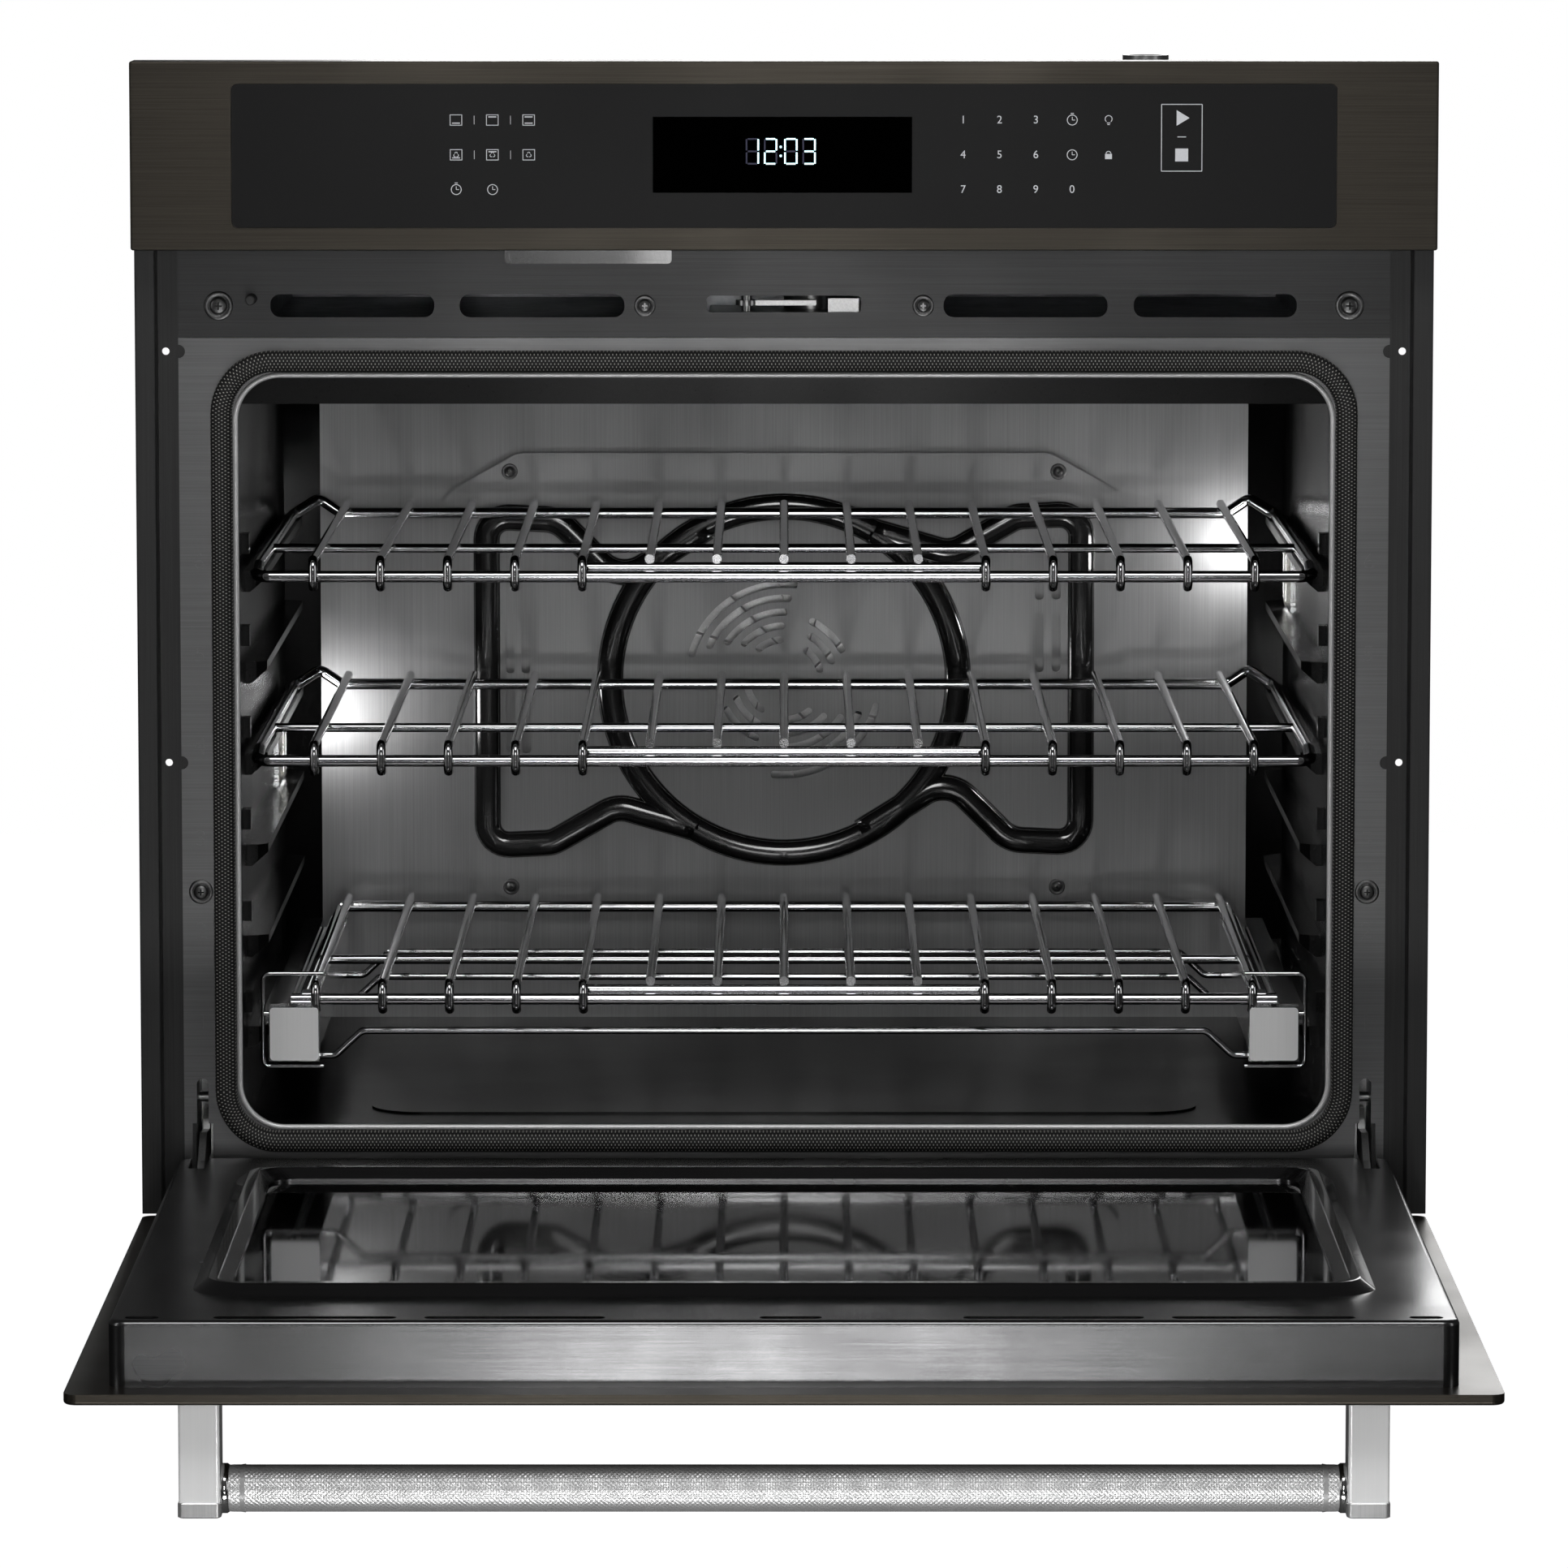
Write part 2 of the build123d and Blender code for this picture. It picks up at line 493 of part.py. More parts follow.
SENSOR_X = CAVITY_HALF - 72.0
SENSOR_Z = 500.0
with BuildPart() as cavity_back:
    half = CAVITY_HALF - CORNER_CHAMFER
    block((-half, half), (CAVITY_BACK, CAVITY_BACK + LINER), (CAVITY_FLOOR, CAVITY_CEILING))
    rod((0, CAVITY_BACK, FAN_Z), (0, CAVITY_BACK + CHAMBER_DEPTH + LINER, FAN_Z), CHAMBER_R + LINER)
    rod((0, CAVITY_BACK - 1, FAN_Z), (0, CAVITY_BACK + CHAMBER_DEPTH, FAN_Z), CHAMBER_R, Mode.SUBTRACT)
    rod((0, CAVITY_BACK, FAN_Z), (0, CAVITY_BACK + CHAMBER_DEPTH + 9, FAN_Z), SHAFT_R + 2, Mode.SUBTRACT)
    rod((SENSOR_X, CAVITY_BACK - 1, SENSOR_Z), (SENSOR_X, CAVITY_BACK + 9, SENSOR_Z), 2.9, Mode.SUBTRACT)
save("cavity_back", cavity_back)

with BuildPart() as door_gasket:
    reach = OPENING_WIDTH / 2 + GASKET_OUTSET
    low, high = OPENING_BOTTOM - GASKET_OUTSET, OPENING_TOP + GASKET_OUTSET
    upright((-reach, reach), (FRAME_FRONT - GASKET_HEIGHT, FRAME_FRONT), (low, high), OPENING_RADIUS + 12)
    upright((-reach + GASKET_WIDTH, reach - GASKET_WIDTH), (FRAME_FRONT - GASKET_HEIGHT - 1, FRAME_FRONT + 1),
            (low + GASKET_WIDTH, high - GASKET_WIDTH), OPENING_RADIUS, Mode.SUBTRACT)
    fillet(door_gasket.edges().group_by(Axis.Y)[0], 4.5)
save("door_gasket", door_gasket)

with BuildPart() as insulation:
    gap = LINER + 2 * SEAM
    bottom_gap = 18.0
    half = CAVITY_HALF + gap
    block((-half - INSULATION + 2, half + INSULATION - 2), (FRAME_BACK + 3, CAVITY_BACK + 58),
          (CAVITY_FLOOR - bottom_gap - 22, CAVITY_CEILING + gap + INSULATION))
    block((-half, half), (FRAME_BACK + 2, CAVITY_BACK + gap), (CAVITY_FLOOR - bottom_gap, CAVITY_CEILING + gap),
          Mode.SUBTRACT)
    rod((0, CAVITY_BACK, FAN_Z), (0, CAVITY_BACK + 60, FAN_Z), CHAMBER_R + 2 * LINER, Mode.SUBTRACT)
    rod((SENSOR_X, CAVITY_BACK, SENSOR_Z), (SENSOR_X, CAVITY_BACK + 60, SENSOR_Z), 5, Mode.SUBTRACT)
    for side in (-1, 1):
        block((side * (CAVITY_HALF + 1), side * (CAVITY_HALF + 40)), (LAMP_Y - 50, LAMP_Y + 50),
              (LAMP_Z[side] - 26, LAMP_Z[side] + 26), Mode.SUBTRACT)
save("insulation", insulation)

# ==== lamps, elements and sensor ===========================================================
LAMP_DEPTH = 22.0
with BuildPart() as lamp_housings:
    for side in (-1, 1):
        z = LAMP_Z[side]
        face = side * (CAVITY_HALF + LINER)
        shell, hollow = LAMP_HEIGHT / 2 + 4, LAMP_HEIGHT / 2 - 2
        block((face + side * SEAM, face + side * LAMP_DEPTH), (LAMP_Y - 46, LAMP_Y + 46), (z - shell, z + shell))
        block((face - side, face + side * (LAMP_DEPTH - LINER)), (LAMP_Y - 40, LAMP_Y + 40),
              (z - hollow, z + hollow), Mode.SUBTRACT)
save("lamp_housings", lamp_housings)

with BuildPart() as lamp_lenses:
    for side in (-1, 1):
        z = LAMP_Z[side]
        face = side * CAVITY_HALF
        length, height = LAMP_LENGTH / 2 - SEAM, LAMP_HEIGHT / 2 - SEAM
        block((face + side * LINER, face - side * 3), (LAMP_Y - length, LAMP_Y + length), (z - height, z + height))
    fillet(lamp_lenses.edges().filter_by(Axis.X), 5.0)
save("lamp_lenses", lamp_lenses)

with BuildPart() as lamp_bulbs:
    for side in (-1, 1):
        z = LAMP_Z[side]
        x = side * (CAVITY_HALF + 10)
        rod((x, LAMP_Y - 40, z), (x, LAMP_Y - 18, z), 7)
        rod((x, LAMP_Y - 18, z), (x, LAMP_Y + 16, z), 5.5)
        with Locations((x, LAMP_Y + 16, z)):
            Sphere(5.5)
save("lamp_bulbs", lamp_bulbs)

ELEMENT_R = 3.4
with BuildPart() as broil_element:
    z = CAVITY_CEILING - 16
    end = CAVITY_BACK - SEAM
    route = [(-30, end, z), (-30, -40, z), (-110, -40, z), (-110, 110, z), (-190, 110, z), (-190, -190, z),
             (190, -190, z), (190, 110, z), (110, 110, z), (110, -40, z), (30, -40, z), (30, end, z)]
    bent_wire(route, 24, ELEMENT_R)
    for x in (-190, 190):
        rod((x, -60, z), (x, -60, CAVITY_CEILING), 1.6)
save("broil_element", broil_element)

with BuildPart() as bake_element:
    z = CAVITY_FLOOR - LINER - 8
    end = CAVITY_BACK - 6
    route = [(-40, end, z), (-40, 60, z), (-230, 60, z), (-230, -40, z), (-100, -40, z), (-100, -200, z),
             (100, -200, z), (100, -40, z), (230, -40, z), (230, 60, z), (40, 60, z), (40, end, z)]
    bent_wire(route, 24, ELEMENT_R)
save("bake_element", bake_element)

with BuildPart() as convection_element:
    y = CAVITY_BACK + 16
    for shift in (0, 10):
        with Locations(Plane(origin=(0, y + shift, FAN_Z), z_dir=(0, 1, 0))):
            Torus(CHAMBER_R - 24, ELEMENT_R)
    for x in (-12, 12):
        depth = CHAMBER_R - 24
        rod((x, y, FAN_Z - depth + 0.6), (x, CAVITY_BACK + CHAMBER_DEPTH - 0.5, FAN_Z - depth + 0.6), ELEMENT_R)
save("convection_element", convection_element)

with BuildPart() as temperature_sensor:
    rod((SENSOR_X, 95, SENSOR_Z), (SENSOR_X, CAVITY_BACK + 30, SENSOR_Z), 2.4)
    with Locations((SENSOR_X, 95, SENSOR_Z)):
        Sphere(2.4)
    block((SENSOR_X - 10, SENSOR_X + 10), (CAVITY_BACK - 1.2, CAVITY_BACK), (SENSOR_Z - 14, SENSOR_Z + 14))
save("temperature_sensor", temperature_sensor)

# ==== convection baffle, fan and motor =====================================================
BAFFLE_FACE = CAVITY_BACK - BAFFLE_STANDOFF
BAFFLE_PLANE = Plane(origin=(0, BAFFLE_FACE, FAN_Z), x_dir=(1, 0, 0), z_dir=(0, -1, 0))
BAFFLE_HIGH = 147.0
SHOULDER = 48.0
WING = [(-50, 99), (-106, 64), (-146, 104), (-WING_X, 106), (-WING_X, -108), (-150, -106), (-108, -82), (-56, -97)]
WING_BENDS = [22, 22, 14, 14, 16, 20]
SHOULDER_X = BAFFLE_HALF - SHOULDER
SHOULDER_Z = BAFFLE_HIGH - 27
BAFFLE_OUTLINE = [
    (-SHOULDER_X, BAFFLE_HIGH), (SHOULDER_X, BAFFLE_HIGH), (BAFFLE_HALF, SHOULDER_Z), (BAFFLE_HALF, -SHOULDER_Z),
    (SHOULDER_X, -BAFFLE_HIGH), (-SHOULDER_X, -BAFFLE_HIGH), (-BAFFLE_HALF, -SHOULDER_Z), (-BAFFLE_HALF, SHOULDER_Z),
]
SIDE_SLOTS = [(-48, -5, -177, -167), (4, 44, -177, -167), (52, 93, 165, 176), (5, 44, 165, 176)]


def arc_slot(radius, start, end, width):
    """Add an arc-shaped slot round the fan's axis to the current sketch."""
    with BuildLine(mode=Mode.PRIVATE) as curve:
        CenterArc((0, 0), radius, start, end - start)
    SlotArc(curve.edge(), width, mode=Mode.ADD)


with BuildPart() as fan_baffle:
    with BuildSketch(BAFFLE_PLANE):
        with BuildLine():
            Polyline(*BAFFLE_OUTLINE, close=True)
        make_face()
        fillet(vertices(), 18)
    extrude(amount=-BAFFLE_STANDOFF, taper=20)
    with BuildSketch(BAFFLE_PLANE.offset(-LINER), mode=Mode.PRIVATE) as hollow:
        with BuildLine():
            Polyline(*BAFFLE_OUTLINE, close=True)
        make_face()
        fillet(vertices(), 18)
        offset(amount=-6)
    extrude(hollow.sketch, amount=-BAFFLE_STANDOFF, mode=Mode.SUBTRACT)
    with BuildSketch(BAFFLE_PLANE) as bead:
        Circle(BEAD_RING_R + BEAD_R)
        Circle(BEAD_RING_R - BEAD_R, mode=Mode.SUBTRACT)
        for turn in (1, -1):
            with BuildLine(mode=Mode.PRIVATE) as wing:
                FilletPolyline(*[(turn * x, turn * z) for x, z in WING], radius=WING_BENDS)
            trace(wing.line, line_width=2 * BEAD_R)
    extrude(amount=BEAD_HEIGHT)
    with BuildSketch(BAFFLE_PLANE.offset(12), mode=Mode.PRIVATE) as slots:
        for turn in (0, 180):
            for i in range(5):
                arc_slot(26 + 9 * i, turn + 96 - 3 * i, turn + 128 + 9 * i, 4.6)
            for i in range(3):
                arc_slot(24 + 9 * i, turn + 196 + 6 * i, turn + 232 + 6 * i, 4.6)
        for low, high, *columns in SIDE_SLOTS:
            for x in columns:
                with Locations((x, (low + high) / 2)):
                    SlotOverall(high - low, 5.8, rotation=90)
    extrude(slots.sketch, amount=-30, mode=Mode.SUBTRACT)
save("fan_baffle", fan_baffle)

FAN_LOW = CAVITY_BACK + 3
BLADE_PLANE = Plane(origin=(0, FAN_LOW + 2, FAN_Z), x_dir=(1, 0, 0), z_dir=(0, -1, 0))
with BuildPart() as convection_fan:
    rod((0, FAN_LOW + 19, FAN_Z), (0, FAN_LOW + 20.5, FAN_Z), FAN_R)
    rod((0, FAN_LOW, FAN_Z), (0, FAN_LOW + 20, FAN_Z), 12)
    with BuildSketch(BLADE_PLANE, mode=Mode.PRIVATE) as blades:
        with PolarLocations(0, 12):
            with Locations((44, 0)):
                Rectangle(52, 1.6, rotation=14)
    extrude(blades.sketch, amount=-18)
    rod((0, FAN_LOW + 19, FAN_Z), (0, CAVITY_BACK + CHAMBER_DEPTH + 26, FAN_Z), SHAFT_R)
save("convection_fan", convection_fan)

MOTOR_Y = CAVITY_BACK + CHAMBER_DEPTH + 6
with BuildPart() as convection_motor:
    rod((0, MOTOR_Y, FAN_Z), (0, MOTOR_Y + 4, FAN_Z), 52)
    rod((0, MOTOR_Y + 4, FAN_Z), (0, MOTOR_Y + 42, FAN_Z), 40)
    rod((0, MOTOR_Y + 42, FAN_Z), (0, MOTOR_Y + 50, FAN_Z), 16)
    rod((0, MOTOR_Y - 1, FAN_Z), (0, MOTOR_Y + 24, FAN_Z), SHAFT_R + FIT, Mode.SUBTRACT)
    for angle in (90, 210, 330):
        x, z = 46 * cos(radians(angle)), 46 * sin(radians(angle))
        rod((x, CAVITY_BACK + CHAMBER_DEPTH + LINER + 0.1, FAN_Z + z), (x, MOTOR_Y + 1, FAN_Z + z), 3.5)
save("convection_motor", convection_motor)

# ==== cooling air, latch and door switch ===================================================
DUCT_LOW = CAVITY_CEILING + LINER + INSULATION + 2
DUCT_TOP = BLOWER_LOW - SEAM
DUCT_HALF = 312.0
with BuildPart() as air_duct:
    block((-DUCT_HALF, DUCT_HALF), (FRAME_BACK + 1, 70), (DUCT_LOW, DUCT_TOP))
    block((-DUCT_HALF + SHEET, DUCT_HALF - SHEET), (FRAME_BACK, 70 - SHEET), (DUCT_LOW + SHEET, DUCT_TOP - SHEET),
          Mode.SUBTRACT)
    block((-62, 62), (FRAME_BACK, -205), (DUCT_LOW - 1, DUCT_TOP + 1), Mode.SUBTRACT)
    for x0, x1 in ((-62, -62 + SHEET), (62 - SHEET, 62)):
        block((x0, x1), (FRAME_BACK + 1, -205), (DUCT_LOW, DUCT_TOP))
    block((-62, 62), (-205, -205 + SHEET), (DUCT_LOW, DUCT_TOP))
    rod((0, BLOWER_Y, DUCT_TOP - 3), (0, BLOWER_Y, DUCT_TOP + 1), WHEEL_R - 8, Mode.SUBTRACT)
    block((SWITCH_X - 10, SWITCH_X + 10), (FRAME_BACK, -262), (DUCT_LOW - 1, DUCT_TOP + 1), Mode.SUBTRACT)
save("air_duct", air_duct)

with BuildPart() as blower_housing:
    rod((0, BLOWER_Y, BLOWER_LOW), (0, BLOWER_Y, BLOWER_LOW + BLOWER_HEIGHT), BLOWER_R)
    block((0, BLOWER_R), (BLOWER_Y, BLOWER_Y + 130), (BLOWER_LOW, BLOWER_LOW + BLOWER_HEIGHT))
    low, high = BLOWER_LOW + SHEET, BLOWER_LOW + BLOWER_HEIGHT - SHEET
    rod((0, BLOWER_Y, low), (0, BLOWER_Y, high), BLOWER_R - SHEET, Mode.SUBTRACT)
    block((SHEET, BLOWER_R - SHEET), (BLOWER_Y, BLOWER_Y + 131), (low, high), Mode.SUBTRACT)
    rod((0, BLOWER_Y, low - 2), (0, BLOWER_Y, low + 1), WHEEL_R - 8, Mode.SUBTRACT)
    rod((0, BLOWER_Y, high - 2), (0, BLOWER_Y, high + 2), SHAFT_R + 4, Mode.SUBTRACT)
save("blower_housing", blower_housing)

with BuildPart() as blower_wheel:
    low = BLOWER_LOW + 8
    rod((0, BLOWER_Y, low + 38), (0, BLOWER_Y, low + 40), WHEEL_R)
    rod((0, BLOWER_Y, low + 20), (0, BLOWER_Y, low + 40), 10)
    rod((0, BLOWER_Y, low + 38), (0, BLOWER_Y, BLOWER_LOW + BLOWER_HEIGHT + 16), SHAFT_R)
    with BuildSketch(Plane.XY.offset(low), mode=Mode.PRIVATE) as vanes:
        with Locations((0, BLOWER_Y)):
            with PolarLocations(0, 24):
                with Locations((WHEEL_R - 8, 0)):
                    Rectangle(14, 1.4, rotation=35)
    extrude(vanes.sketch, amount=39)
    with BuildSketch(Plane.XY.offset(low), mode=Mode.PRIVATE) as band:
        with Locations((0, BLOWER_Y)):
            Circle(WHEEL_R)
            Circle(WHEEL_R - 6, mode=Mode.SUBTRACT)
    extrude(band.sketch, amount=3)
save("blower_wheel", blower_wheel)

with BuildPart() as blower_motor:
    low = BLOWER_LOW + BLOWER_HEIGHT + SEAM
    rod((0, BLOWER_Y, low), (0, BLOWER_Y, CHASSIS_HEIGHT - SHEET - 2), 34)
    rod((0, BLOWER_Y, low), (0, BLOWER_Y, low + 3), 46)
    rod((0, BLOWER_Y, low - 1), (0, BLOWER_Y, low + 18), SHAFT_R + FIT, Mode.SUBTRACT)
save("blower_motor", blower_motor)

HOOK_THICK = 3.0
with BuildPart() as latch_body:
    base = LATCH_Z - 5
    block((-50, 50), (FRAME_BACK + SEAM, -215), (DUCT_LOW, DUCT_LOW + SHEET))
    block((-44, 44), (FRAME_BACK + 2, -225), (base - 3, base))
    block((-44, 44), (-228, -225), (DUCT_LOW, base))
    block((-44, -40), (-260, -225), (DUCT_LOW, base))
    block((40, 44), (-260, -225), (DUCT_LOW, base))
    rod((LATCH_X, LATCH_Y, base), (LATCH_X, LATCH_Y, LATCH_Z + 5), PIN_R)
    rod((16, -248, base), (16, -248, base + 22), 16)
    block((26, 44), (FRAME_BACK + 3, -280), (base, base + 8))
save("latch_body", latch_body)

LATCH_ARM = 41.0
with BuildPart() as latch_hook:
    with BuildSketch(Plane.XY.offset(LATCH_Z - HOOK_THICK / 2)):
        with Locations((LATCH_X, LATCH_Y)):
            Circle(6.5)
        with BuildLine():
            Polyline((LATCH_X, LATCH_Y - 4), (LATCH_X + LATCH_ARM, LATCH_Y - 4), (LATCH_X + LATCH_ARM, LATCH_Y + 7),
                     (LATCH_X + LATCH_ARM - 6, LATCH_Y + 7), (LATCH_X + LATCH_ARM - 8, LATCH_Y + 3),
                     (LATCH_X, LATCH_Y + 4), close=True)
        make_face()
        with Locations((LATCH_X, LATCH_Y)):
            Circle(PIN_R + FIT, mode=Mode.SUBTRACT)
    extrude(amount=HOOK_THICK)
save("latch_hook", latch_hook)

with BuildPart() as switch_housing:
    block((SWITCH_X - 8, SWITCH_X + 8), (FRAME_BACK, -268), (SWITCH_Z - 9, SWITCH_Z + 9))
    rod((SWITCH_X, FRAME_BACK - 1, SWITCH_Z), (SWITCH_X, -272, SWITCH_Z), PIN_R + FIT, Mode.SUBTRACT)
save("switch_housing", switch_housing)

PLUNGER_REACH = 4.0        # how far the plunger's tip stands inside the closed door's inner face
with BuildPart() as switch_plunger:
    tip = AXIS_Y + (LINER_TOP - AXIS_Z) - PLUNGER_REACH
    rod((SWITCH_X, tip, SWITCH_Z), (SWITCH_X, -280, SWITCH_Z), PIN_R)
    fillet(switch_plunger.edges().group_by(Axis.Y)[0], 1.2)
save("switch_plunger", switch_plunger)

# ==== supply inlet =========================================================================
with BuildPart() as junction_box:
    x, y = (GLAND_X - 45, GLAND_X + 45), (GLAND_Y - 32, GLAND_Y + 50)
    low, high = CHASSIS_HEIGHT - 62, CHASSIS_HEIGHT - SHEET
    block(x, y, (low, high))
    block((x[0] + SHEET, x[1] - SHEET), (y[0] + SHEET, y[1] - SHEET), (low + SHEET, high + 1), Mode.SUBTRACT)
    for shift in (-22, 0, 22):
        block((GLAND_X + shift - 8, GLAND_X + shift + 8), (GLAND_Y + 10, GLAND_Y + 34), (low + SHEET, low + 16))
save("junction_box", junction_box)

GLAND_HEIGHT = 24.0
with BuildPart() as conduit_gland:
    with Locations((GLAND_X, GLAND_Y, CHASSIS_HEIGHT)):
        Cylinder(GLAND_BORE_R + 7, 5, align=(Align.CENTER, Align.CENTER, Align.MIN))
        Cylinder(GLAND_BORE_R + 4, GLAND_HEIGHT - 6, align=(Align.CENTER, Align.CENTER, Align.MIN))
    with Locations((GLAND_X, GLAND_Y, CHASSIS_HEIGHT - 6)):
        Cylinder(GLAND_BORE_R + 2.8, 6, align=(Align.CENTER, Align.CENTER, Align.MIN))
    rod((GLAND_X, GLAND_Y, CHASSIS_HEIGHT - 10), (GLAND_X, GLAND_Y, CHASSIS_HEIGHT + 40), GLAND_BORE_R,
        Mode.SUBTRACT)
save("conduit_gland", conduit_gland)

# ==== hinges ===============================================================================
with BuildPart() as hinge_receivers:
    for side in (-1, 1):
        x = side * HINGE_X
        back = CABINET_FACE + 59
        block((x - 5.8, x + 5.8), (CABINET_FACE + SEAM, back), (AXIS_Z + 2, AXIS_Z + 70))
        block((x - 4.6, x + 4.6), (FRAME_BACK, back - 2), (AXIS_Z + 6, AXIS_Z + 66), Mode.SUBTRACT)
        block((x - 4.6, x + 4.6), (back - 42, back - 32), (AXIS_Z + 6, AXIS_Z + 10))
        rod((x - 5, back - 22, AXIS_Z + 48), (x + 5, back - 22, AXIS_Z + 48), 3)
save("hinge_receivers", hinge_receivers)

ARM_OUTLINE = [
    (AXIS_Y - 5, AXIS_Z - 7.5), (AXIS_Y + 7, AXIS_Z - 7.5), (FRAME_BACK, AXIS_Z + 13), (FRAME_BACK + 35, AXIS_Z + 14),
    (FRAME_BACK + 47, AXIS_Z + 24), (FRAME_BACK + 45, AXIS_Z + 42), (FRAME_BACK + 34, AXIS_Z + 42),
    (FRAME_BACK + 29, AXIS_Z + 30), (FRAME_BACK + 1, AXIS_Z + 32), (AXIS_Y + 18, AXIS_Z + 18),
    (AXIS_Y - 5, AXIS_Z + 7.5),
]
with BuildPart() as hinge_arms:
    for side in (-1, 1):
        with BuildSketch(Plane(origin=(side * HINGE_X - ARM_THICK / 2, 0, 0), x_dir=(0, 1, 0), z_dir=(1, 0, 0)),
                         mode=Mode.PRIVATE) as arm:
            with BuildLine():
                Polyline(*ARM_OUTLINE, close=True)
            make_face()
            with Locations((AXIS_Y, AXIS_Z)):
                Circle(EYE_R)
                Circle(PIN_R + FIT, mode=Mode.SUBTRACT)
        extrude(arm.sketch, amount=ARM_THICK)
save("hinge_arms", hinge_arms)

CHANNEL_END = AXIS_Y - 230.0
with BuildPart() as hinge_bodies:
    for side in (-1, 1):
        x = side * HINGE_X
        top = LINER_TOP - HINGE_TOP_GAP
        block((x - 5.9, x + 5.9), (CHANNEL_END, AXIS_Y + 6), (SKIN_TOP + 1, top))
        block((x - 4.4, x + 4.4), (CHANNEL_END - 1, AXIS_Y + 7), (SKIN_TOP + 2.5, top + 1), Mode.SUBTRACT)
        rod((x - 5, AXIS_Y, AXIS_Z), (x + 5, AXIS_Y, AXIS_Z), PIN_R)
        block((x - 5, x + 5), (CHANNEL_END, CHANNEL_END + 3), (SKIN_TOP + 1, top - 4))
        rod((x, CHANNEL_END + 1, SKIN_TOP + 14), (x, AXIS_Y - 20, SKIN_TOP + 14), 1.5)
save("hinge_bodies", hinge_bodies)

with BuildPart() as hinge_springs:
    for side in (-1, 1):
        x = side * HINGE_X
        rod((x, CHANNEL_END + 3.3, SKIN_TOP + 14), (x, AXIS_Y - 60, SKIN_TOP + 14), 4.0)
        rod((x, CHANNEL_END + 2, SKIN_TOP + 14), (x, AXIS_Y - 50, SKIN_TOP + 14), 1.5 + FIT, Mode.SUBTRACT)
save("hinge_springs", hinge_springs)

# ==== door =================================================================================
OUTER_WINDOW_Y = AXIS_Y - 275.0
with BuildPart() as door_skin:
    half = PANEL_WIDTH / 2
    slab((-half, half), (DOOR_NEAR, DOOR_FAR), (DOOR_OUTER, SKIN_TOP), SKIN_RADIUS)
    fillet(door_skin.edges().group_by(Axis.Z)[0], 2.0)
    slab((-half + 42, half - 42), (DOOR_NEAR + 30, DOOR_FAR - 24), (DOOR_OUTER + SHEET, SKIN_TOP + 1), 5,
         Mode.SUBTRACT)
    floor_cut((-OUTER_WINDOW_WIDTH / 2, OUTER_WINDOW_WIDTH / 2),
              (OUTER_WINDOW_Y - OUTER_WINDOW_LENGTH / 2, OUTER_WINDOW_Y + OUTER_WINDOW_LENGTH / 2),
              (DOOR_OUTER - 1, SKIN_TOP), 6)
save("door_skin", door_skin)

with BuildPart() as door_glass_outer:
    reach = OUTER_WINDOW_WIDTH / 2 + 12
    length = OUTER_WINDOW_LENGTH / 2 + 12
    slab((-reach, reach), (OUTER_WINDOW_Y - length, OUTER_WINDOW_Y + length),
         (DOOR_OUTER + SHEET + 0.1, DOOR_OUTER + SHEET + 0.1 + GLASS), 6)
save("door_glass_outer", door_glass_outer)

LINER_HALF = LINER_WIDTH / 2
WINDOW_Y_RANGE = (WINDOW_Y - WINDOW_LENGTH / 2 + RING_WIDTH, WINDOW_Y + WINDOW_LENGTH / 2 - RING_WIDTH)
DOOR_SLOT_Y = AXIS_Y - (VENT_Z - AXIS_Z)
with BuildPart() as door_liner:
    slab((-LINER_HALF, LINER_HALF), (LINER_NEAR, LINER_FAR), (SKIN_TOP, LINER_TOP), 9)
    fillet(door_liner.edges().group_by(Axis.Z)[-1], 3.0)
    slab((-LINER_HALF + LINER, LINER_HALF - LINER), (LINER_NEAR + LINER, LINER_FAR - LINER),
         (SKIN_TOP - 1, LINER_TOP - LINER), 7, Mode.SUBTRACT)
    through = (LINER_TOP - 3, LINER_TOP + 1)
    slot_y = (DOOR_SLOT_Y - 4, DOOR_SLOT_Y + 4)
    floor_cut((-WINDOW_WIDTH / 2 + RING_WIDTH, WINDOW_WIDTH / 2 - RING_WIDTH), WINDOW_Y_RANGE, through, 12)
    for slot in DOOR_SLOTS:
        floor_cut(slot, slot_y, through, 3.6)
    for side in (-1, 1):
        oval = side * (LINER_HALF - 17.5)
        floor_cut((oval - 9, oval + 9), slot_y, through, 3.9)
        x = side * HINGE_X
        block((x - 5, x + 5), (AXIS_Y - 30, LINER_FAR + 1), (AXIS_Z - 13, LINER_TOP + 1), Mode.SUBTRACT)
save("door_liner", door_liner)

with BuildPart() as window_frame:
    inset = 8.0
    for grow, inner, mode in ((0, 0, Mode.ADD), (1, RING_WIDTH, Mode.SUBTRACT)):
        outward = inset if mode == Mode.ADD else -6.0
        with BuildSketch(Plane.XY.offset(LINER_TOP - (grow and 0.001))) as base:
            with Locations((0, WINDOW_Y)):
                RectangleRounded(WINDOW_WIDTH - 2 * inner, WINDOW_LENGTH - 2 * inner, 26 - inner / 2)
        with BuildSketch(Plane.XY.offset(LINER_TOP + RING_HEIGHT + (grow and 0.001))) as top:
            with Locations((0, WINDOW_Y)):
                RectangleRounded(WINDOW_WIDTH - 2 * inner - 2 * outward, WINDOW_LENGTH - 2 * inner - 2 * outward,
                                 22 - inner / 2)
        loft(mode=mode)
    fillet(window_frame.edges().group_by(Axis.Z)[-1], 1.5)
save("window_frame", window_frame)

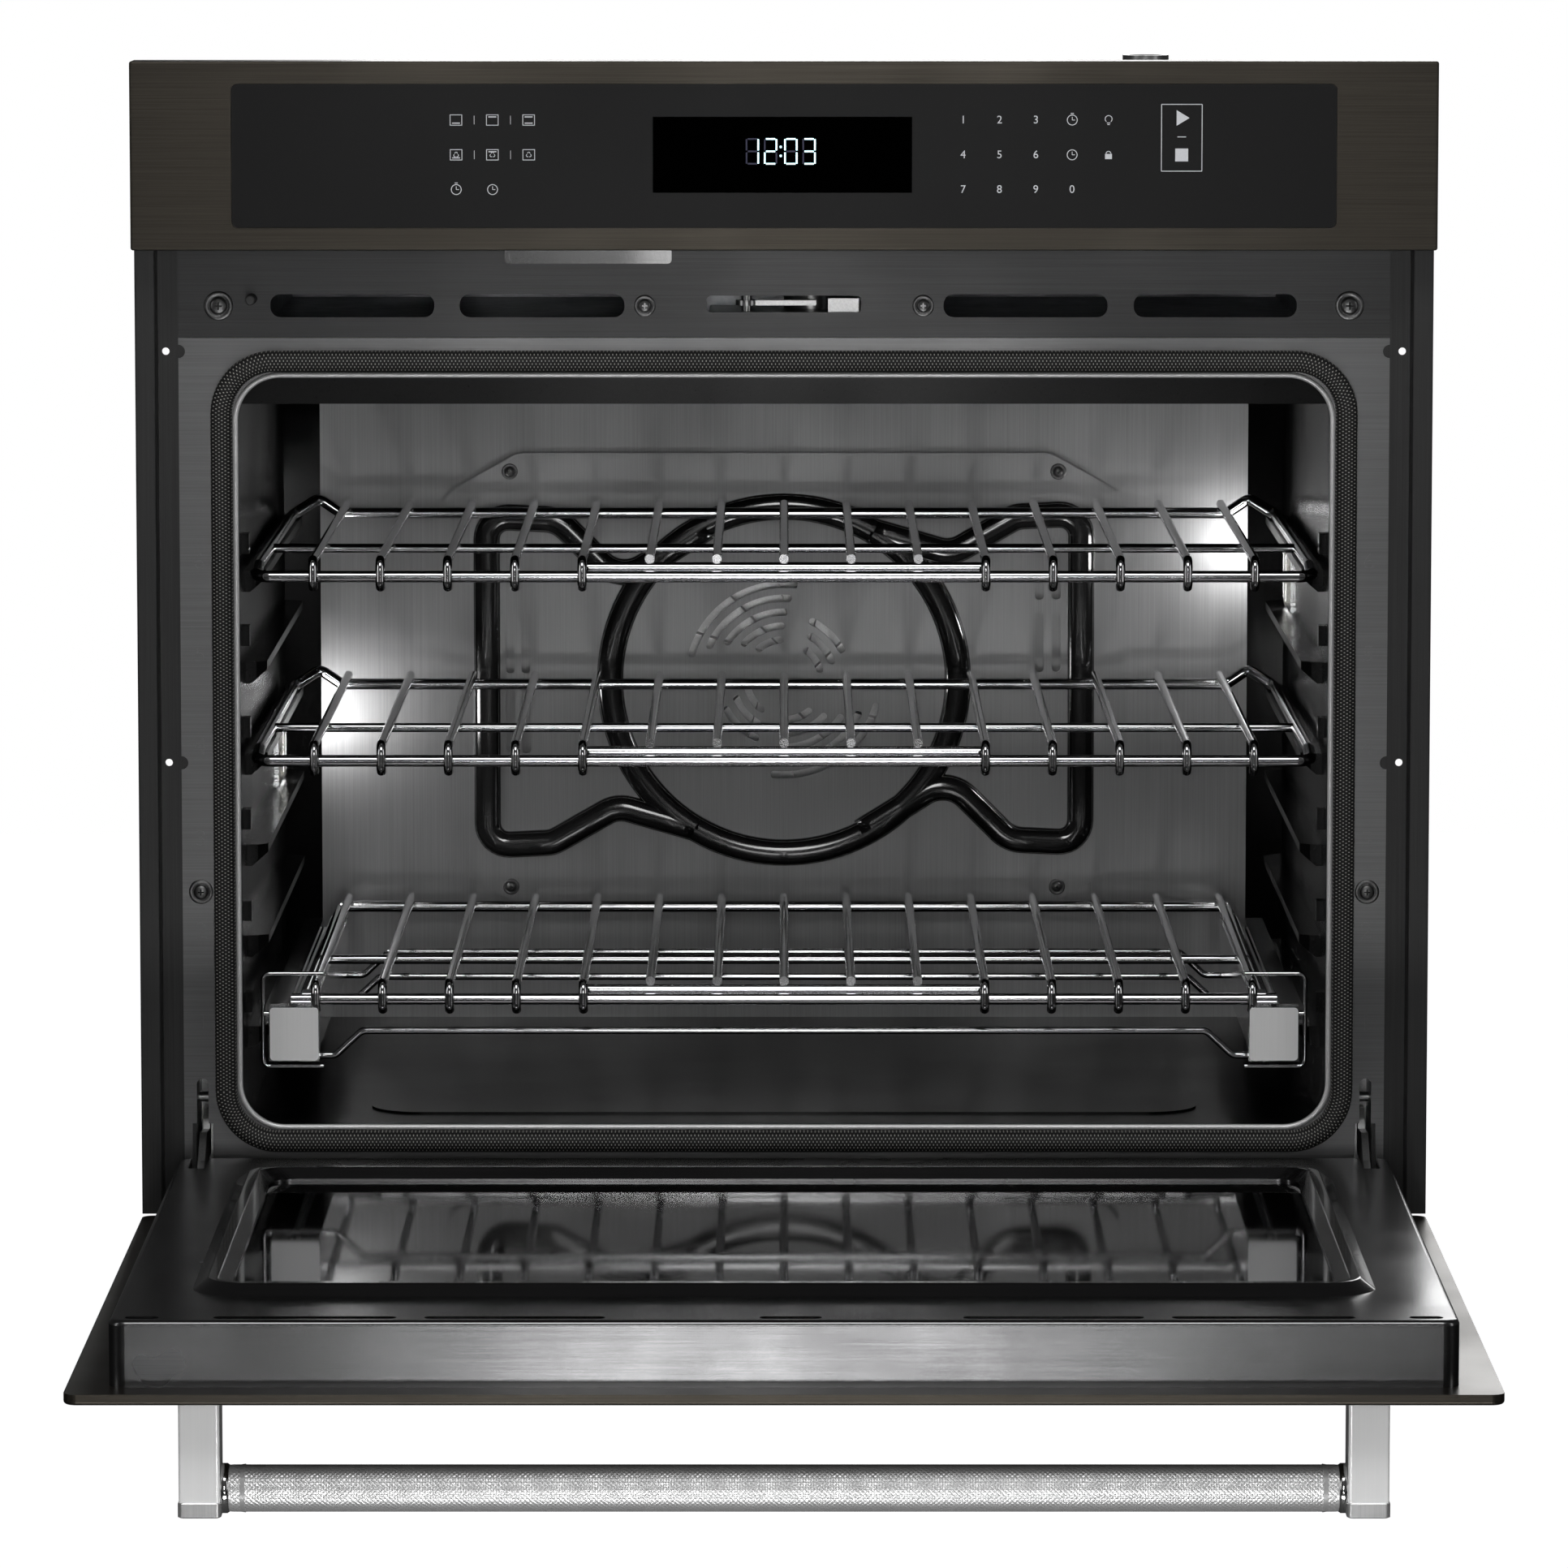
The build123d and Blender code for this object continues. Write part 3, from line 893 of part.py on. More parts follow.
with BuildPart() as door_glass_inner:
    slab((-WINDOW_WIDTH / 2 + RING_WIDTH - 8, WINDOW_WIDTH / 2 - RING_WIDTH + 8),
         (WINDOW_Y_RANGE[0] - 8, WINDOW_Y_RANGE[1] + 8),
         (LINER_TOP - LINER - GLASS - 0.1, LINER_TOP - LINER - 0.1), 10)
save("door_glass_inner", door_glass_inner)

with BuildPart() as door_insulation:
    outer, inner = HINGE_X - 12, WINDOW_WIDTH / 2 - 4
    slab((-outer, outer), (LINER_NEAR + 12, LINER_FAR - 12), (SKIN_TOP + 0.5, LINER_TOP - LINER - 4), 6)
    slab((-inner, inner), (WINDOW_Y_RANGE[0] - 14, WINDOW_Y_RANGE[1] + 14), (SKIN_TOP, LINER_TOP), 12, Mode.SUBTRACT)
save("door_insulation", door_insulation)

# ==== handle ===============================================================================
with BuildPart() as handle_posts:
    for side in (-1, 1):
        x = (side * (HANDLE_HALF - POST_WIDTH), side * HANDLE_HALF)
        block(x, (HANDLE_Y - POST_THICK / 2, HANDLE_Y + POST_THICK / 2), (DOOR_OUTER - POST_LENGTH, DOOR_OUTER))
    fillet(handle_posts.edges().filter_by(Axis.Z), 1.6)
    lower = handle_posts.edges().group_by(Axis.Z)[0]
    fillet(lower, 1.4)
save("handle_posts", handle_posts)

with BuildPart() as handle_bar:
    post_face = HANDLE_HALF - POST_WIDTH
    rod((-post_face + 12, HANDLE_Y, HANDLE_Z), (post_face - 12, HANDLE_Y, HANDLE_Z), GRIP_R)
    for side in (-1, 1):
        with BuildSketch(Plane(origin=(side * (post_face - 13), HANDLE_Y, HANDLE_Z), z_dir=(side, 0, 0))):
            Circle(GRIP_R + 0.6)
        with BuildSketch(Plane(origin=(side * post_face, HANDLE_Y, HANDLE_Z), z_dir=(side, 0, 0))):
            Circle(GRIP_R - 1.4)
        loft()
save("handle_bar", handle_bar)

# ==== racks ================================================================================


def rack_wires(level, back):
    """Add the lengthwise wires, which hook over the front bar except in the middle."""
    middle = (WIRE_COUNT - 1) // 2
    for i in range(WIRE_COUNT):
        x = (i - middle) * WIRE_PITCH
        if abs(i - middle) <= SHORT_WIRES // 2:
            rod((x, back, level), (x, RACK_FRONT + 5, level), WIRE_R)
        else:
            nose = RACK_FRONT - BAR_R - WIRE_R + 0.5
            bent_wire([(x, back, level), (x, nose, level), (x, nose, level - BAR_DROP - 3.5),
                       (x, RACK_FRONT - 1, level - BAR_DROP - 6.2)], [5.5, 2.0], WIRE_R)
    rod((-RAIL_HALF, RACK_FRONT + 7, level - WIRE_R - 2.4), (RAIL_HALF, RACK_FRONT + 7, level - WIRE_R - 2.4), 3.2)
    for x in (-RAIL_HALF, RAIL_HALF):
        end = level - WIRE_R - 2.4
        rod((x, RACK_FRONT + 7, end), (x, RACK_FRONT, level - BAR_DROP), 2.8)


def full_rack(level):
    """Add a flat rack whose side rods run on the cavity's guide ribs."""
    rods = level - ROD_DROP
    back = RACK_BACK
    bent_wire([(0, RACK_FRONT, level - BAR_DROP), (RACK_HALF, RACK_FRONT, level - BAR_DROP),
               (RACK_HALF, RACK_FRONT + 26, rods), (RACK_HALF, back - 14, rods), (RACK_HALF - 16, back, level + 4),
               (RACK_HALF - 30, back, rods), (0, back, rods)], [8, 10, 8, 6, 4], ROD_R)
    bent_wire([(0, RACK_FRONT, level - BAR_DROP), (-RACK_HALF, RACK_FRONT, level - BAR_DROP),
               (-RACK_HALF, RACK_FRONT + 26, rods), (-RACK_HALF, back - 14, rods), (-RACK_HALF + 16, back, level + 4),
               (-RACK_HALF + 30, back, rods), (0, back, rods)], [8, 10, 8, 6, 4], ROD_R)
    rod((-RACK_HALF, RACK_FRONT + MID_BAR_SETBACK, rods), (RACK_HALF, RACK_FRONT + MID_BAR_SETBACK, rods), WIRE_R)
    rack_wires(level, back + 2)


with BuildPart() as rack_top:
    full_rack(GUIDE_TOP_LEVEL)
save("rack_top", rack_top)

with BuildPart() as rack_middle:
    full_rack(GUIDE_TOP_LEVEL - 2 * GUIDE_PITCH)
save("rack_middle", rack_middle)

with BuildPart() as roll_out_rack:
    level = ROLL_OUT_LEVEL
    rods = level - ROD_DROP
    side_x = (MEMBER_INNER + MEMBER_OUTER) / 2
    reach = SLIDE_OUTER - 1.5
    rod((-reach, RACK_FRONT, level - BAR_DROP), (reach, RACK_FRONT, level - BAR_DROP), ROD_R)
    for side in (-1, 1):
        rod((side * side_x, RACK_FRONT, rods - 2), (side * side_x, RACK_BACK - 6, rods - 2), ROD_R)
        block((side * MEMBER_INNER, side * MEMBER_OUTER), (GLIDE_FRONT, GLIDE_BACK - 4),
              (GLIDE_LOW + 1, GLIDE_TOP + 2))
        block((side * (MEMBER_INNER + 2), side * (MEMBER_OUTER + 1)), (GLIDE_FRONT, GLIDE_BACK),
              (GLIDE_LOW + 5, GLIDE_TOP - 4), Mode.SUBTRACT)
        block((side * (MEMBER_INNER - 2), side * RAIL_OUTER), (GLIDE_FRONT - 6, GLIDE_FRONT),
              (GLIDE_LOW - 1.5, GLIDE_TOP - 0.8))
    rod((-side_x, RACK_BACK - 6, rods), (side_x, RACK_BACK - 6, rods), ROD_R)
    rod((-side_x, RACK_FRONT + MID_BAR_SETBACK, rods), (side_x, RACK_FRONT + MID_BAR_SETBACK, rods), WIRE_R)
    rack_wires(level, RACK_BACK - 4)
save("roll_out_rack", roll_out_rack)

with BuildPart() as glide_slides:
    for side in (-1, 1):
        x = (side * (MEMBER_INNER + 2.6), side * (SLIDE_OUTER - GLIDE_GAP))
        block(x, (GLIDE_FRONT + 1, GLIDE_BACK - 6), (GLIDE_LOW + 6, GLIDE_TOP - 5))
        block((side * (MEMBER_INNER + 5), side * (SLIDE_OUTER - 3)), (GLIDE_FRONT, GLIDE_BACK),
              (GLIDE_LOW + 9, GLIDE_TOP - 8), Mode.SUBTRACT)
save("glide_slides", glide_slides)

with BuildPart() as glide_frame:
    flange_z = GUIDE_TOPS[GUIDE_LEVELS - 1] + REST_CLEARANCE
    for side in (-1, 1):
        block((side * SLIDE_OUTER, side * RAIL_OUTER), (GLIDE_FRONT + 1, GLIDE_BACK), (GLIDE_LOW - 1.5, GLIDE_TOP))
        block((side * (SLIDE_OUTER - 1), side * (RAIL_OUTER - 2)), (GLIDE_FRONT, GLIDE_BACK + 1),
              (GLIDE_LOW + 4, GLIDE_TOP - 3), Mode.SUBTRACT)
        block((side * (RAIL_OUTER - 1), side * (RAIL_OUTER + GUIDE_FLANGE)), (RIB_FRONT + 8, GLIDE_BACK),
              (flange_z, flange_z + 2))
        low = GLIDE_LOW - 5.5
        high = GLIDE_TOP + 18
        front = GLIDE_FRONT + 2
        inner, outer = side * (MEMBER_INNER - 4), side * (RAIL_OUTER + 4)
        bent_wire([(inner, front, low), (outer, front, low), (outer, front, high), (inner, front, high)], 4, 1.3)
        rod((side * (RAIL_OUTER - 1), front, GLIDE_TOP - 6), (outer, front, GLIDE_TOP - 6), 1.3)
    for setback in (40, 275, 390):
        y = FRAME_FRONT + setback
        low = GLIDE_LOW - 1.9
        for side in (-1, 1):
            bent_wire([(side * (SLIDE_OUTER + 5), y, low), (side * (MEMBER_INNER - 10), y, low),
                       (side * (MEMBER_INNER - 26), y, low + 15), (0, y, low + 15)], 7, WIRE_R - 0.6)
save("glide_frame", glide_frame)

# ==== screws ===============================================================================
SCREW_SPOTS = [
    (333, VENT_Z, 8.0, FRAME_FRONT), (-333, VENT_Z, 8.0, FRAME_FRONT), (82, VENT_Z, 6.0, FRAME_FRONT),
    (-82, VENT_Z, 6.0, FRAME_FRONT), (FRAME_SCREW_X, FRAME_SCREW_Z, 7.0, FRAME_FRONT),
    (-FRAME_SCREW_X, FRAME_SCREW_Z, 7.0, FRAME_FRONT), (177, FAN_Z + 135, 5.0, BAFFLE_FACE),
    (-177, FAN_Z + 135, 5.0, BAFFLE_FACE), (177, FAN_Z - 135, 5.0, BAFFLE_FACE),
    (-177, FAN_Z - 135, 5.0, BAFFLE_FACE),
]
with BuildPart() as body_screws:
    for x, z, head, face in SCREW_SPOTS:
        rod((x, face - 0.05, z), (x, face - 1.2, z), head)
        rod((x, face - 1.2, z), (x, face - 3.4, z), head * 0.62)
        for turn in (0, 90):
            with Locations(Location((x, face - 3.4, z), (0, turn, 0))):
                Box(head * 0.8, 2.4, head * 0.16, mode=Mode.SUBTRACT)
save("body_screws", body_screws)
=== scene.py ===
import json
import logging
from dataclasses import dataclass
from enum import Enum
from math import atan2, cos, hypot, pi, radians, sin, tan

import bmesh
import bpy
from mathutils import Euler, Matrix, Vector


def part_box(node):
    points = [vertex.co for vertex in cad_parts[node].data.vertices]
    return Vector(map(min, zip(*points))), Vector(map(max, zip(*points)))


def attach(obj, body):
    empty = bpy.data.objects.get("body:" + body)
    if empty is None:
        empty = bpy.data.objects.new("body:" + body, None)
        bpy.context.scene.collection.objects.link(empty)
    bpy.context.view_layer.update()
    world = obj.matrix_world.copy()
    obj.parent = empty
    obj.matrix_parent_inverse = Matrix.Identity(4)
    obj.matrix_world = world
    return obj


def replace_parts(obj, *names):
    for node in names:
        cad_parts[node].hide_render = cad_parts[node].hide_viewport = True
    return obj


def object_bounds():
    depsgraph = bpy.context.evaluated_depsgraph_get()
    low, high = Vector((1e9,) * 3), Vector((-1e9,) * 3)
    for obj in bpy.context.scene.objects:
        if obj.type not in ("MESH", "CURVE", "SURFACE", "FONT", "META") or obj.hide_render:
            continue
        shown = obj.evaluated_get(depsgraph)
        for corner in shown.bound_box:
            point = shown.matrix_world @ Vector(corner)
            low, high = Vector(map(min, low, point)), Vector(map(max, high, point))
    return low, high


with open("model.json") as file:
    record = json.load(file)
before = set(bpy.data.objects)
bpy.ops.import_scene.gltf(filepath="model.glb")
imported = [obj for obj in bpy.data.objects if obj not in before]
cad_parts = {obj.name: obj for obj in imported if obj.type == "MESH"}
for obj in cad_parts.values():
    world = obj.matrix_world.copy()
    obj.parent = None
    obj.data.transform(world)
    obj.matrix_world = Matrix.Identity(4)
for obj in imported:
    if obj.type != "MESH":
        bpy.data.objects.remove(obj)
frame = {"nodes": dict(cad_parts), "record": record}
CAD_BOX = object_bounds()
LOG = logging.getLogger("wall_oven")
MM = 0.001
TURN = 2 * pi
NUMBER = "NodeSocketFloat"
BEAD_RISE = 5.0 * MM  # from the baffle's sheet to the front of its pressed bead
Colour = tuple[float, float, float]
Point = tuple[float, float, float]
Spot = tuple[float, float]


# ---- shared shader groups -----------------------------------------------------------------


def new_group(name: str, inputs: list[tuple[str, float]], output: str) -> bpy.types.NodeTree:
    """Start an empty shader group with named number sockets.

    Args:
        name: The group's name.
        inputs: Name and default of each input.
        output: The output's name.

    Returns:
        The node tree, with its input and output nodes in place.
    """
    tree = bpy.data.node_groups.new(name, "ShaderNodeTree")
    for label, value in inputs:
        socket = tree.interface.new_socket(name=label, in_out="INPUT", socket_type=NUMBER)
        socket.default_value = value
    tree.interface.new_socket(name=output, in_out="OUTPUT", socket_type=NUMBER)
    tree.nodes.new("NodeGroupInput").name = "In"
    tree.nodes.new("NodeGroupOutput").name = "Out"
    return tree


def remap(tree: bpy.types.NodeTree, source: bpy.types.NodeSocket, reach: Spot,
          spread: Spot = (0.0, 1.0)) -> bpy.types.NodeSocket:
    """Stretch a value from one range to another.

    Args:
        tree: The node tree that it joins.
        source: The value.
        reach: The range that it comes from.
        spread: The range that it goes to.

    Returns:
        The stretched value.
    """
    node = tree.nodes.new("ShaderNodeMapRange")
    for label, value in zip(("From Min", "From Max", "To Min", "To Max"), (*reach, *spread)):
        node.inputs[label].default_value = value
    tree.links.new(source, node.inputs["Value"])
    return node.outputs["Result"]


class Effects:
    """The shader groups that several finishes share."""

    def __init__(self) -> None:
        """Build every group once."""
        self.grain = self._grain()
        self.smudge = self._smudge()
        self.braid = self._braid()

    def _grain(self) -> bpy.types.NodeTree:
        """Long brushed scratches along one axis, as a value from 0 to 1."""
        tree = new_group("brushed_grain", [("X", 40), ("Y", 40), ("Z", 40)], "Grain")
        nodes, links = tree.nodes, tree.links
        place = nodes.new("ShaderNodeTexCoord")
        scale = nodes.new("ShaderNodeCombineXYZ")
        stretch = nodes.new("ShaderNodeVectorMath")
        stretch.operation = "MULTIPLY"
        noise = nodes.new("ShaderNodeTexNoise")
        noise.inputs["Scale"].default_value = 1.0
        noise.inputs["Detail"].default_value = 5.0
        noise.inputs["Roughness"].default_value = 0.65
        for axis in "XYZ":
            links.new(nodes["In"].outputs[axis], scale.inputs[axis])
        links.new(place.outputs["Object"], stretch.inputs[0])
        links.new(scale.outputs[0], stretch.inputs[1])
        links.new(stretch.outputs[0], noise.inputs["Vector"])
        links.new(noise.outputs["Fac"], nodes["Out"].inputs["Grain"])
        return tree

    def _smudge(self) -> bpy.types.NodeTree:
        """Soft uneven patches, such as handling marks, as a value from 0 to 1."""
        tree = new_group("smudge", [("Scale", 9.0)], "Smudge")
        nodes, links = tree.nodes, tree.links
        place = nodes.new("ShaderNodeTexCoord")
        noise = nodes.new("ShaderNodeTexNoise")
        noise.inputs["Detail"].default_value = 3.0
        links.new(nodes["In"].outputs["Scale"], noise.inputs["Scale"])
        links.new(place.outputs["Object"], noise.inputs["Vector"])
        links.new(remap(tree, noise.outputs["Fac"], (0.35, 0.68)), nodes["Out"].inputs["Smudge"])
        return tree

    def _braid(self) -> bpy.types.NodeTree:
        """Staggered rows of stitch dots on the piece's own map, as a mask from 0 to 1."""
        tree = new_group("braid", [("Along", 1.0), ("Across", 1.0)], "Dots")
        nodes, links = tree.nodes, tree.links
        layout = nodes.new("ShaderNodeUVMap")
        layout.uv_map = "braid_map"
        parts = nodes.new("ShaderNodeSeparateXYZ")
        links.new(layout.outputs["UV"], parts.inputs[0])
        product = nodes.new("ShaderNodeMath")
        product.operation = "MULTIPLY"
        for place, (axis, turns) in enumerate((("X", "Along"), ("Y", "Across"))):
            phase, wave = nodes.new("ShaderNodeMath"), nodes.new("ShaderNodeMath")
            phase.operation, wave.operation = "MULTIPLY", "SINE"
            links.new(parts.outputs[axis], phase.inputs[0])
            links.new(nodes["In"].outputs[turns], phase.inputs[1])
            links.new(phase.outputs[0], wave.inputs[0])
            links.new(wave.outputs[0], product.inputs[place])
        links.new(remap(tree, product.outputs[0], (0.45, 0.85)), nodes["Out"].inputs["Dots"])
        return tree


STITCH_PITCH = 2.2  # from one stitch to the next in its row, in millimetres
STITCH_ROW = 1.8  # from one row of stitches to the next, in millimetres
TONE_REACH = 0.22  # how far the noise strays from its middle before it is all one tone
RELIEF_DEPTH = 0.0006
COAT_ROUGHNESS = 0.04
MIRROR = 0.01  # the least roughness
HANDLED_GLASS = 0.03  # roughness that handling marks add to glass


class Grain(Enum):
    """Which way a brushed finish runs, as noise cells per metre along X, Y and Z."""

    SIDEWAYS = (9.0, 1400.0, 1400.0)
    UPRIGHT = (1200.0, 1200.0, 9.0)
    FRONT_TO_BACK = (1200.0, 9.0, 1200.0)
    FINE = (900.0, 900.0, 900.0)
    SPANGLE = (70.0, 70.0, 70.0)


@dataclass(frozen=True)
class Finish:
    """An opaque surface finish with grain and uneven gloss."""

    name: str
    colour: Colour
    second: Colour
    roughness: float
    metallic: float = 0.0
    grain: Grain = Grain.FINE
    gloss_spread: float = 0.08
    bump: float = 0.05
    coat: float = 0.0
    glow: float = 0.0
    braid: bool = False
    contrast: float = 1.0
    specular: float = 0.5

    def build(self, effects: Effects) -> bpy.types.Material:
        """Make the finish's material.

        Args:
            effects: The shared shader groups.

        Returns:
            The finished material.
        """
        material = bpy.data.materials.new(self.name)
        material.use_nodes = True
        tree = material.node_tree
        nodes, links = tree.nodes, tree.links
        shader = nodes["Principled BSDF"]
        pattern = nodes.new("ShaderNodeGroup")
        if self.braid:
            pattern.node_tree = effects.braid
            pattern.inputs["Along"].default_value = TURN / STITCH_PITCH
            pattern.inputs["Across"].default_value = TURN / (2 * STITCH_ROW)
        else:
            pattern.node_tree = effects.grain
            for axis, value in zip("XYZ", self.grain.value):
                pattern.inputs[axis].default_value = value
        smudge = nodes.new("ShaderNodeGroup")
        smudge.node_tree = effects.smudge
        reach = TONE_REACH / self.contrast
        tone = remap(tree, pattern.outputs[0], (0.5 - reach, 0.5 + reach))
        blend = nodes.new("ShaderNodeMix")
        blend.data_type = "RGBA"
        blend.inputs["A"].default_value = (*self.colour, 1)
        blend.inputs["B"].default_value = (*self.second, 1)
        links.new(tone, blend.inputs["Factor"])
        links.new(blend.outputs["Result"], shader.inputs["Base Color"])
        half = self.gloss_spread / 2
        spread = (max(self.roughness - half, MIRROR), self.roughness + half)
        links.new(remap(tree, smudge.outputs["Smudge"], (0.0, 1.0), spread), shader.inputs["Roughness"])
        relief = nodes.new("ShaderNodeBump")
        relief.inputs["Strength"].default_value = self.bump
        relief.inputs["Distance"].default_value = RELIEF_DEPTH
        links.new(pattern.outputs[0], relief.inputs["Height"])
        links.new(relief.outputs["Normal"], shader.inputs["Normal"])
        for label, value in (("Metallic", self.metallic), ("Coat Weight", self.coat),
                             ("Coat Roughness", COAT_ROUGHNESS), ("Specular IOR Level", self.specular)):
            shader.inputs[label].default_value = value
        # Glow is real light on the lit clock segments and a painted glow on the legends and the unlit
        # segments.
        if self.glow:
            shader.inputs["Emission Color"].default_value = (*self.colour, 1)
            shader.inputs["Emission Strength"].default_value = self.glow
        return material


@dataclass(frozen=True)
class Glazing:
    """A clear or tinted glass with faint handling marks."""

    name: str
    tint: Colour
    roughness: float = 0.03
    ior: float = 1.5

    def build(self, effects: Effects) -> bpy.types.Material:
        """Make the glass.

        Args:
            effects: The shared shader groups.

        Returns:
            The finished material.
        """
        material = bpy.data.materials.new(self.name)
        material.use_nodes = True
        tree = material.node_tree
        nodes, links = tree.nodes, tree.links
        shader = nodes["Principled BSDF"]
        smudge = nodes.new("ShaderNodeGroup")
        smudge.node_tree = effects.smudge
        spread = (self.roughness, self.roughness + HANDLED_GLASS)
        links.new(remap(tree, smudge.outputs["Smudge"], (0.0, 1.0), spread), shader.inputs["Roughness"])
        shader.inputs["Base Color"].default_value = (*self.tint, 1)
        shader.inputs["Transmission Weight"].default_value = 1.0
        shader.inputs["IOR"].default_value = self.ior
        return material


def grey(tone: float) -> Colour:
    """Return a neutral colour of one tone."""
    return tone, tone, tone


FINISHES: dict[str, Finish | Glazing] = {
    "bronze_steel": Finish(
        "dark_bronze_steel", (0.036, 0.032, 0.026), (0.062, 0.055, 0.045), 0.34, 0.9, Grain.SIDEWAYS,
        bump=0.05),
    "black_steel": Finish("satin_black_steel", grey(0.020), grey(0.034), 0.38, 0.4, Grain.UPRIGHT),
    "frame_steel": Finish(
        "brushed_frame_steel", (0.134, 0.134, 0.135), (0.172, 0.172, 0.173), 0.34, 1.0, Grain.SIDEWAYS,
        bump=0.04),
    "vent_steel": Finish(
        "brushed_vent_steel", grey(0.044), (0.062, 0.062, 0.063), 0.36, 1.0, Grain.SIDEWAYS, bump=0.04),
    "liner_steel": Finish(
        "door_liner_steel", (0.125, 0.125, 0.127), (0.165, 0.165, 0.167), 0.24, 1.0, Grain.SIDEWAYS,
        bump=0.03),
    "window_steel": Finish(
        "window_ring_enamel", (0.045, 0.045, 0.046), (0.065, 0.065, 0.066), 0.20, 0.9, Grain.SIDEWAYS,
        bump=0.02, coat=0.4),
    "black_enamel": Finish(
        "gloss_black_enamel", grey(0.002), grey(0.004), 0.22, bump=0.0, specular=0.14, contrast=1.6),
    "baffle_enamel": Finish(
        "back_wall_steel", (0.165, 0.165, 0.166), (0.215, 0.215, 0.216), 0.36, 0.85, Grain.UPRIGHT,
        bump=0.03),
    # The bead is pressed from the grey baffle sheet; its near-black colour is a painted dark reflection of
    # its curved faces.
    "bead_painted_dark": Finish("bead_painted_dark_reflection", grey(0.006), grey(0.012), 0.14, coat=0.6, bump=0.02),
    "control_glass": Finish(
        "black_panel_glass", (0.0085, 0.0085, 0.0087), (0.0100, 0.0100, 0.0102), 0.36, bump=0.0,
        gloss_spread=0.03, specular=0.16),
    "display": Finish("display_black", grey(0.0002), grey(0.0004), 0.35, bump=0.0, specular=0.0),
    # The printed legends carry a faint painted glow; the ink is no lamp.
    "legend": Finish("legend_ink_painted_glow", (0.52, 0.53, 0.55), (0.60, 0.61, 0.63), 0.5, glow=0.35),
    "clock": Finish("clock_segments", (0.62, 0.93, 1.0), (0.7, 0.96, 1.0), 0.4, glow=1.6),
    # The unlit segments carry a faint painted glow, though they are not lit.
    "ghost": Finish("unlit_segments_painted_glow", (0.012, 0.012, 0.035), (0.014, 0.014, 0.04), 0.4, glow=0.5),
    "board": Finish(
        "circuit_board", (0.01, 0.07, 0.03), (0.02, 0.16, 0.06), 0.4, 0.0, Grain.SPANGLE, contrast=3.0),
    # The weave pattern is real; its light stitch tops are painted highlight and the near-black gaps between
    # them painted shade.
    "gasket": Finish(
        "woven_gasket_painted_highlight_and_shade", grey(0.003), (0.46, 0.45, 0.42), 0.7, braid=True, bump=0.6, contrast=0.5),
    "insulation": Finish("glass_wool", (0.55, 0.47, 0.26), (0.72, 0.66, 0.45), 0.9, bump=0.9),
    "door_wool": Finish("dark_glass_wool", (0.020, 0.019, 0.017), (0.034, 0.032, 0.028), 0.9, bump=0.4),
    "chrome": Finish("chromed_wire", (0.60, 0.60, 0.61), (0.70, 0.70, 0.71), 0.13, 1.0, bump=0.0),
    "steel": Finish("zinc_plated_steel", grey(0.34), grey(0.46), 0.33, 1.0, bump=0.04),
    "screw": Finish("dark_screw_steel", grey(0.12), grey(0.20), 0.35, 1.0, bump=0.04),
    "painted_steel": Finish(
        "galvanised_steel", (0.36, 0.37, 0.38), (0.52, 0.53, 0.54), 0.42, 0.9, Grain.SPANGLE,
        gloss_spread=0.2, bump=0.03, contrast=1.6),
    # The polished steel posts are near-white and barely metallic: their bright face is a painted reflection.
    "polished": Finish("post_steel_painted_reflection", grey(0.94), grey(0.98), 0.16, 0.1, Grain.UPRIGHT, bump=0.01),
    "grip": Finish("knurled_grip_steel", grey(0.70), grey(0.86), 0.34, 0.6, bump=0.0),
    "collar": Finish("polished_collar", grey(0.80), grey(0.88), 0.14, 1.0, bump=0.0),
    "element": Finish("oxidised_sheath", (0.045, 0.043, 0.042), (0.09, 0.085, 0.08), 0.45, 0.8, bump=0.2),
    "ceramic": Finish("lamp_ceramic", (0.62, 0.60, 0.55), (0.75, 0.73, 0.68), 0.5, bump=0.1),
    "motor": Finish("motor_shell", grey(0.03), grey(0.06), 0.4, 0.7, Grain.UPRIGHT),
    "aluminium": Finish("pressed_aluminium", (0.55, 0.55, 0.56), (0.66, 0.66, 0.67), 0.35, 1.0),
    "plastic": Finish("moulded_plastic", grey(0.02), grey(0.035), 0.45, bump=0.1),
    # The rim is frame steel; its light colour with little metal is a painted highlight.
    "rim": Finish("opening_rim_painted_highlight", grey(0.70), grey(0.82), 0.34, 0.35, bump=0.0),
    # Near-white and not metallic: a painted highlight on chrome ends.
    "cap": Finish("end_cap_painted_highlight", grey(0.92), grey(0.97), 0.34, 0.0, Grain.UPRIGHT, bump=0.0),
    "band": Finish("brushed_band_steel", grey(0.42), grey(0.54), 0.30, 0.7, Grain.UPRIGHT, bump=0.01),
    "tab": Finish("gloss_black_tab", grey(0.012), grey(0.02), 0.15, coat=0.5),
    "glass": Glazing("inner_door_glass", (0.10, 0.10, 0.105), ior=1.62),
    "dark_glass": Glazing("outer_door_glass", (0.012, 0.012, 0.013)),
    "lens": Glazing("lamp_lens", (0.86, 0.88, 0.88), 0.12),
    "bulb": Glazing("lamp_bulb", (0.92, 0.90, 0.84)),
}
OWN_FINISH = {
    "vent_panel": "vent_steel", "door_liner": "liner_steel", "window_frame": "window_steel",
    "door_glass_outer": "dark_glass", "body_screws": "screw", "data_tab": "tab",
    "door_insulation": "door_wool",
}


